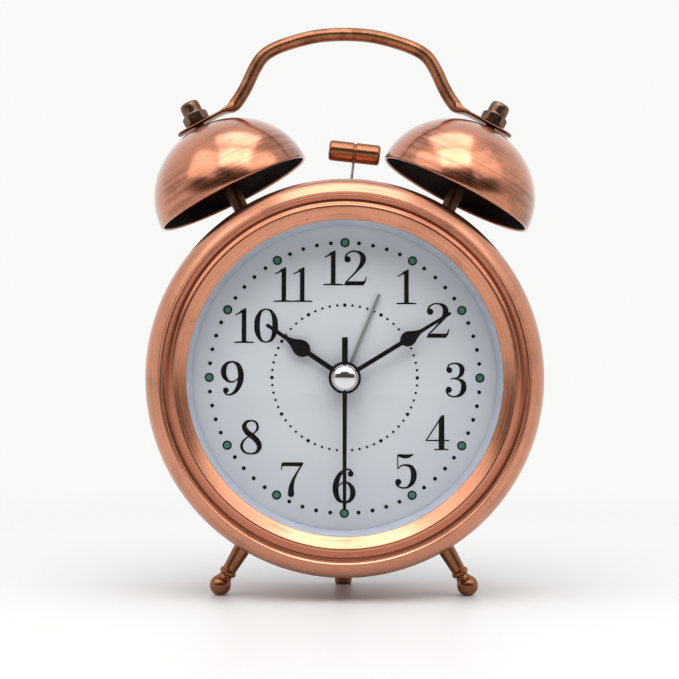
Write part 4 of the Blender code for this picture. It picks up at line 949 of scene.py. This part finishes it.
def make_feet():
    top = DRUM_RADIUS + 0.3
    ball = arc((0.0, FOOT_REACH), FOOT_BALL, 318, 450, 24)
    stem = eased([(0, 53.0), (1.5, 53.0), (1.5, top), (3.2, top), (3.2, top + 1.5), (2.75, top + 2.2),
                  (2.1, FOOT_REACH - 5.4), (2.6, FOOT_REACH - 4.9), (2.6, FOOT_REACH - 4.1),
                  (1.8, FOOT_REACH - 3.4), ball[0]], 0.3)
    profile = stem + ball[1:-1] + [(0, FOOT_REACH + FOOT_BALL)]
    for side, name in ((-1, "left"), (1, "right")):
        foot = turned([(radius, -reach) for radius, reach in profile], on_dial(0, 0, FOOT_Y),
                      (0.0, -side * FOOT_ANGLE, 0.0), 64)
        below = block((-60, -30, -AXIS_HEIGHT - 10), (60, 30, -AXIS_HEIGHT))
        foot = smooth(combine(foot, [below], "DIFFERENCE"))
        dress(foot, f"leg_{name}", "dark_copper", f"foot_{name}")
    drum_bottom = AXIS_HEIGHT - DRUM_RADIUS - 0.3
    profile = eased([(0, drum_bottom + 3.0), (1.5, drum_bottom + 3.0), (1.5, drum_bottom), (2.9, drum_bottom),
                     (2.7, 0.6), (2.4, 0), (0, 0)], 0.3)
    rear = turned(profile, Vector((0, REAR_FOOT_Y, 0)) * MM, (0, 0, 0), 48)
    dress(rear, "back_leg", "dark_copper", "rear_foot")


def make_hammer():
    upright = (0.0, HAMMER_LEAN, 0.0)
    pivot = on_dial(*HAMMER_PIVOT)
    place = polar(HAMMER_LENGTH, 90 - math.degrees(HAMMER_LEAN), HAMMER_PIVOT)
    half = 7.9
    profile = [(0, half), (HAMMER_HEAD - 0.55, half), (HAMMER_HEAD, half - 0.55), (HAMMER_HEAD, 0.45),
               (HAMMER_HEAD - 0.35, 0.25), (HAMMER_HEAD - 0.35, -0.25), (HAMMER_HEAD, -0.45),
               (HAMMER_HEAD, 0.55 - half), (HAMMER_HEAD - 0.55, -half), (0, -half)]
    head = turned(eased(profile, 0.4), on_dial(*place), (0.0, math.pi / 2 + HAMMER_LEAN, 0.0), 64)
    dress(head, "striker", "dark_copper", "hammer_head")
    profile = eased([(0, HAMMER_LENGTH - 2.25), (0.4, HAMMER_LENGTH - 2.25), (0.4, 3.3), (0, 3.3)], 0.1)
    wire = turned(profile, pivot, upright, 24)
    dress(wire, "striker_wire", "screw_steel", "hammer_rod")
    outline = arc((0, 0), 3.0, 0, 180, 24) + eased(
        [(-3.0, 0), (-2.2, -6.0), (-2.6, -16.4), (-1.2, -16.4), (-1.2, -11.6), (1.2, -11.6), (1.2, -16.4),
         (2.6, -16.4), (2.2, -6.0), (3.0, 0)], 0.5)[1:-1]
    lever = flat_piece([outline, circle(1.3)], 1.2, pivot, (math.pi / 2, HAMMER_LEAN, 0.0), bevel=0.15)
    dress(lever, "striker_lever", "screw_steel", "hammer_lever")


# -------- back of the clock

def arrow_mark(centre, radius, start, end, back):
    """A raised arc with an arrowhead, drawn on the back cover."""
    stations = [(*polar(radius, start + (end - start) * step / 8), 0.35) for step in range(9)]
    stem = pen_stroke(stations, centre, COVER_BACK - 0.05, back)
    tip = polar(radius, end + 12, centre)
    wings = [polar(radius + reach, end, centre) for reach in (1.1, -1.1)]
    head = prism([tip] + wings, COVER_BACK - 0.05, back + 0.01)
    return [stem, head]


def make_back():
    switch_x, switch_z = SWITCH_CENTRE
    screw_places = [polar(46.0, angle) for angle in SCREW_ANGLES]
    holes = [circle(1.8, place, 32) for place in (TIME_KNOB, ALARM_KNOB)]
    holes += [circle(1.6, place, 32) for place in screw_places]
    holes.append(circle(4.3, BUTTON_CENTRE))
    slot = rectangle((switch_x - 4.9, switch_z - 2.2), (switch_x + 4.9, switch_z + 2.2))
    holes.append(eased(slot, 0.6, True))
    holes.append(eased(rectangle((-27.7, -40.9), (27.7, -9.7)), 2.0, True, 8))
    cover = plate([circle(51.1, count=ROUND_STEPS)] + holes, COVER_FRONT, COVER_BACK, bevel=0.2)
    ridge = turned_on_dial(eased([(48.4, 21.1), (48.4, 21.6), (49.3, 21.6), (49.3, 21.1)], 0.15, True),
                           steps=ROUND_STEPS, ring=True)
    wells = []
    for place, radius in ((TIME_KNOB, 6.4), (ALARM_KNOB, 6.4), (BUTTON_CENTRE, 4.9)):
        profile = [(radius, 21.1), (radius, 21.7), (radius + 0.7, 21.7), (radius + 0.7, 21.1)]
        wells.append(turned_on_dial(eased(profile, 0.15, True), place, 64, ring=True))
    marks = arrow_mark(TIME_KNOB, 8.8, 150, 60, 21.45) + arrow_mark(ALARM_KNOB, 8.8, 150, 60, 21.45)
    marks.append(prism(circle(0.8, (switch_x + 7.0, switch_z), 24), COVER_BACK - 0.05, 21.45))
    dress(join([cover, ridge] + wells + marks), "back_cover", "black_plastic", "rear_cover")

    for number, place in enumerate(screw_places, start=1):
        profile = [(0, 13.4), (1.15, 13.4), (1.15, 21.5), (2.6, 21.5), (2.6, 22.1), (2.2, 22.75), (1.3, 23.0),
                   (0, 23.0)]
        screw = turned_on_dial(eased(profile, 0.2), place, 48)
        cross = [block((place[0] - long, 22.2, place[1] - high), (place[0] + long, 24.0, place[1] + high))
                 for long, high in ((1.4, 0.28), (0.28, 1.4))]
        screw = smooth(combine(screw, cross, "DIFFERENCE"))
        dress(screw, f"cover_screw_{number}", "screw_steel", f"rear_screw_{number}")

    for place, node in ((TIME_KNOB, "time_set_knob"), (ALARM_KNOB, "alarm_set_knob")):
        flutes = [polar(5.72 + 0.2 * math.cos(KNOB_FLUTES * math.radians(angle)), angle)
                  for angle in range(0, 360, 2)]
        grip = plate([flutes, circle(4.7)], 22.6, 29.6, place, bevel=0.2)
        profile = eased([(0, 30.1), (3.2, 30.1), (3.6, 30.3), (4.9, 30.3), (4.9, 29.0), (0, 29.0)], 0.2)
        cap = turned_on_dial(profile, place, 64)
        dress(join([grip, cap]), node.replace("_knob", "_grip"), "black_plastic", body=BODY_OF[node])

    x = switch_x - 2.0
    foot = block((x - 2.4, 17.8, switch_z - 3.4), (x + 2.4, 19.1, switch_z + 3.4), 0.2)
    grip = block((x - 2.4, 18.4, switch_z - 1.8), (x + 2.4, 23.3, switch_z + 1.8), 0.3)
    ribs = []
    for step in range(5):
        middle = x - 2.1 + 1.05 * step
        ribs.append(block((middle - 0.22, 23.0, switch_z - 1.6), (middle + 0.22, 23.8, switch_z + 1.6), 0.12))
    dress(join([foot, grip] + ribs), "switch_slider", "black_plastic", "alarm_switch")

    dish = eased([(0, 17.9), (5.0, 17.9), (5.0, 19.1), (4.0, 19.1), (4.0, 23.0), (3.5, 23.5), (2.6, 23.2),
                  (0, 22.9)], 0.3)
    dress(turned_on_dial(dish, BUTTON_CENTRE, 64), "button_cap", "black_plastic", "light_button")

    outline = eased(rectangle((-27.4, -40.6), (27.4, -10.0)), 1.8, True, 8)
    door = plate([outline], 19.6, COVER_BACK, bevel=0.25)
    catch = block((-6.0, 20.7, -13.2), (6.0, 22.1, -12.0), 0.3)
    ribs = [block((-22.0, 21.0, -36.6 + 2.4 * step), (22.0, 21.55, -35.8 + 2.4 * step), 0.2)
            for step in range(8)]
    dress(join([door, catch] + ribs), "door_panel", "black_plastic", "battery_door")


KEPT_LOOKS = {
    "white_plastic": ("movement_frame", "alarm_wheel", "hour_wheel", "cannon_pinion", "motion_wheel",
                      "second_wheel", "middle_wheel", "crank_gear"),
    "black_plastic": ("movement_housing", "battery_tray", "time_set_knob", "alarm_set_knob"),
    "nut_copper": ("post_nut_left", "post_nut_right"),
    "screw_steel": ("stator", "hammer_bracket", "alarm_motor", "hammer_pivot_pin"),
    "contact_plate": ("battery_spring_upper", "battery_spring_lower", "battery_link_plate",
                      "battery_contact_plate"),
    "circuit_board": ("circuit_board",),
    "coil_wire": ("stepper_coil",),
    "clear_plastic": ("dial_light",),
    "cell_wrap": ("battery_upper", "battery_lower"),
    "pinion_brass": ("motor_pinion",),
    "magnet": ("rotor",),
}


def finish_kept_nodes():
    for look, nodes in KEPT_LOOKS.items():
        for node in nodes:
            for holder in frame["nodes"][node].material_slots:
                holder.material = LOOKS[look]


make_camera()
make_world()
make_floor()
for lamp_row in LAMPS:
    add_lamp(*lamp_row)
make_case()
make_dial_print()
make_hands()
for bell_side, bell_name in ((-1, "left"), (1, "right")):
    make_bell(bell_side, bell_name)
make_handle()
make_feet()
make_hammer()
make_back()
finish_kept_nodes()
bpy.context.scene.view_settings.view_transform = "Standard"
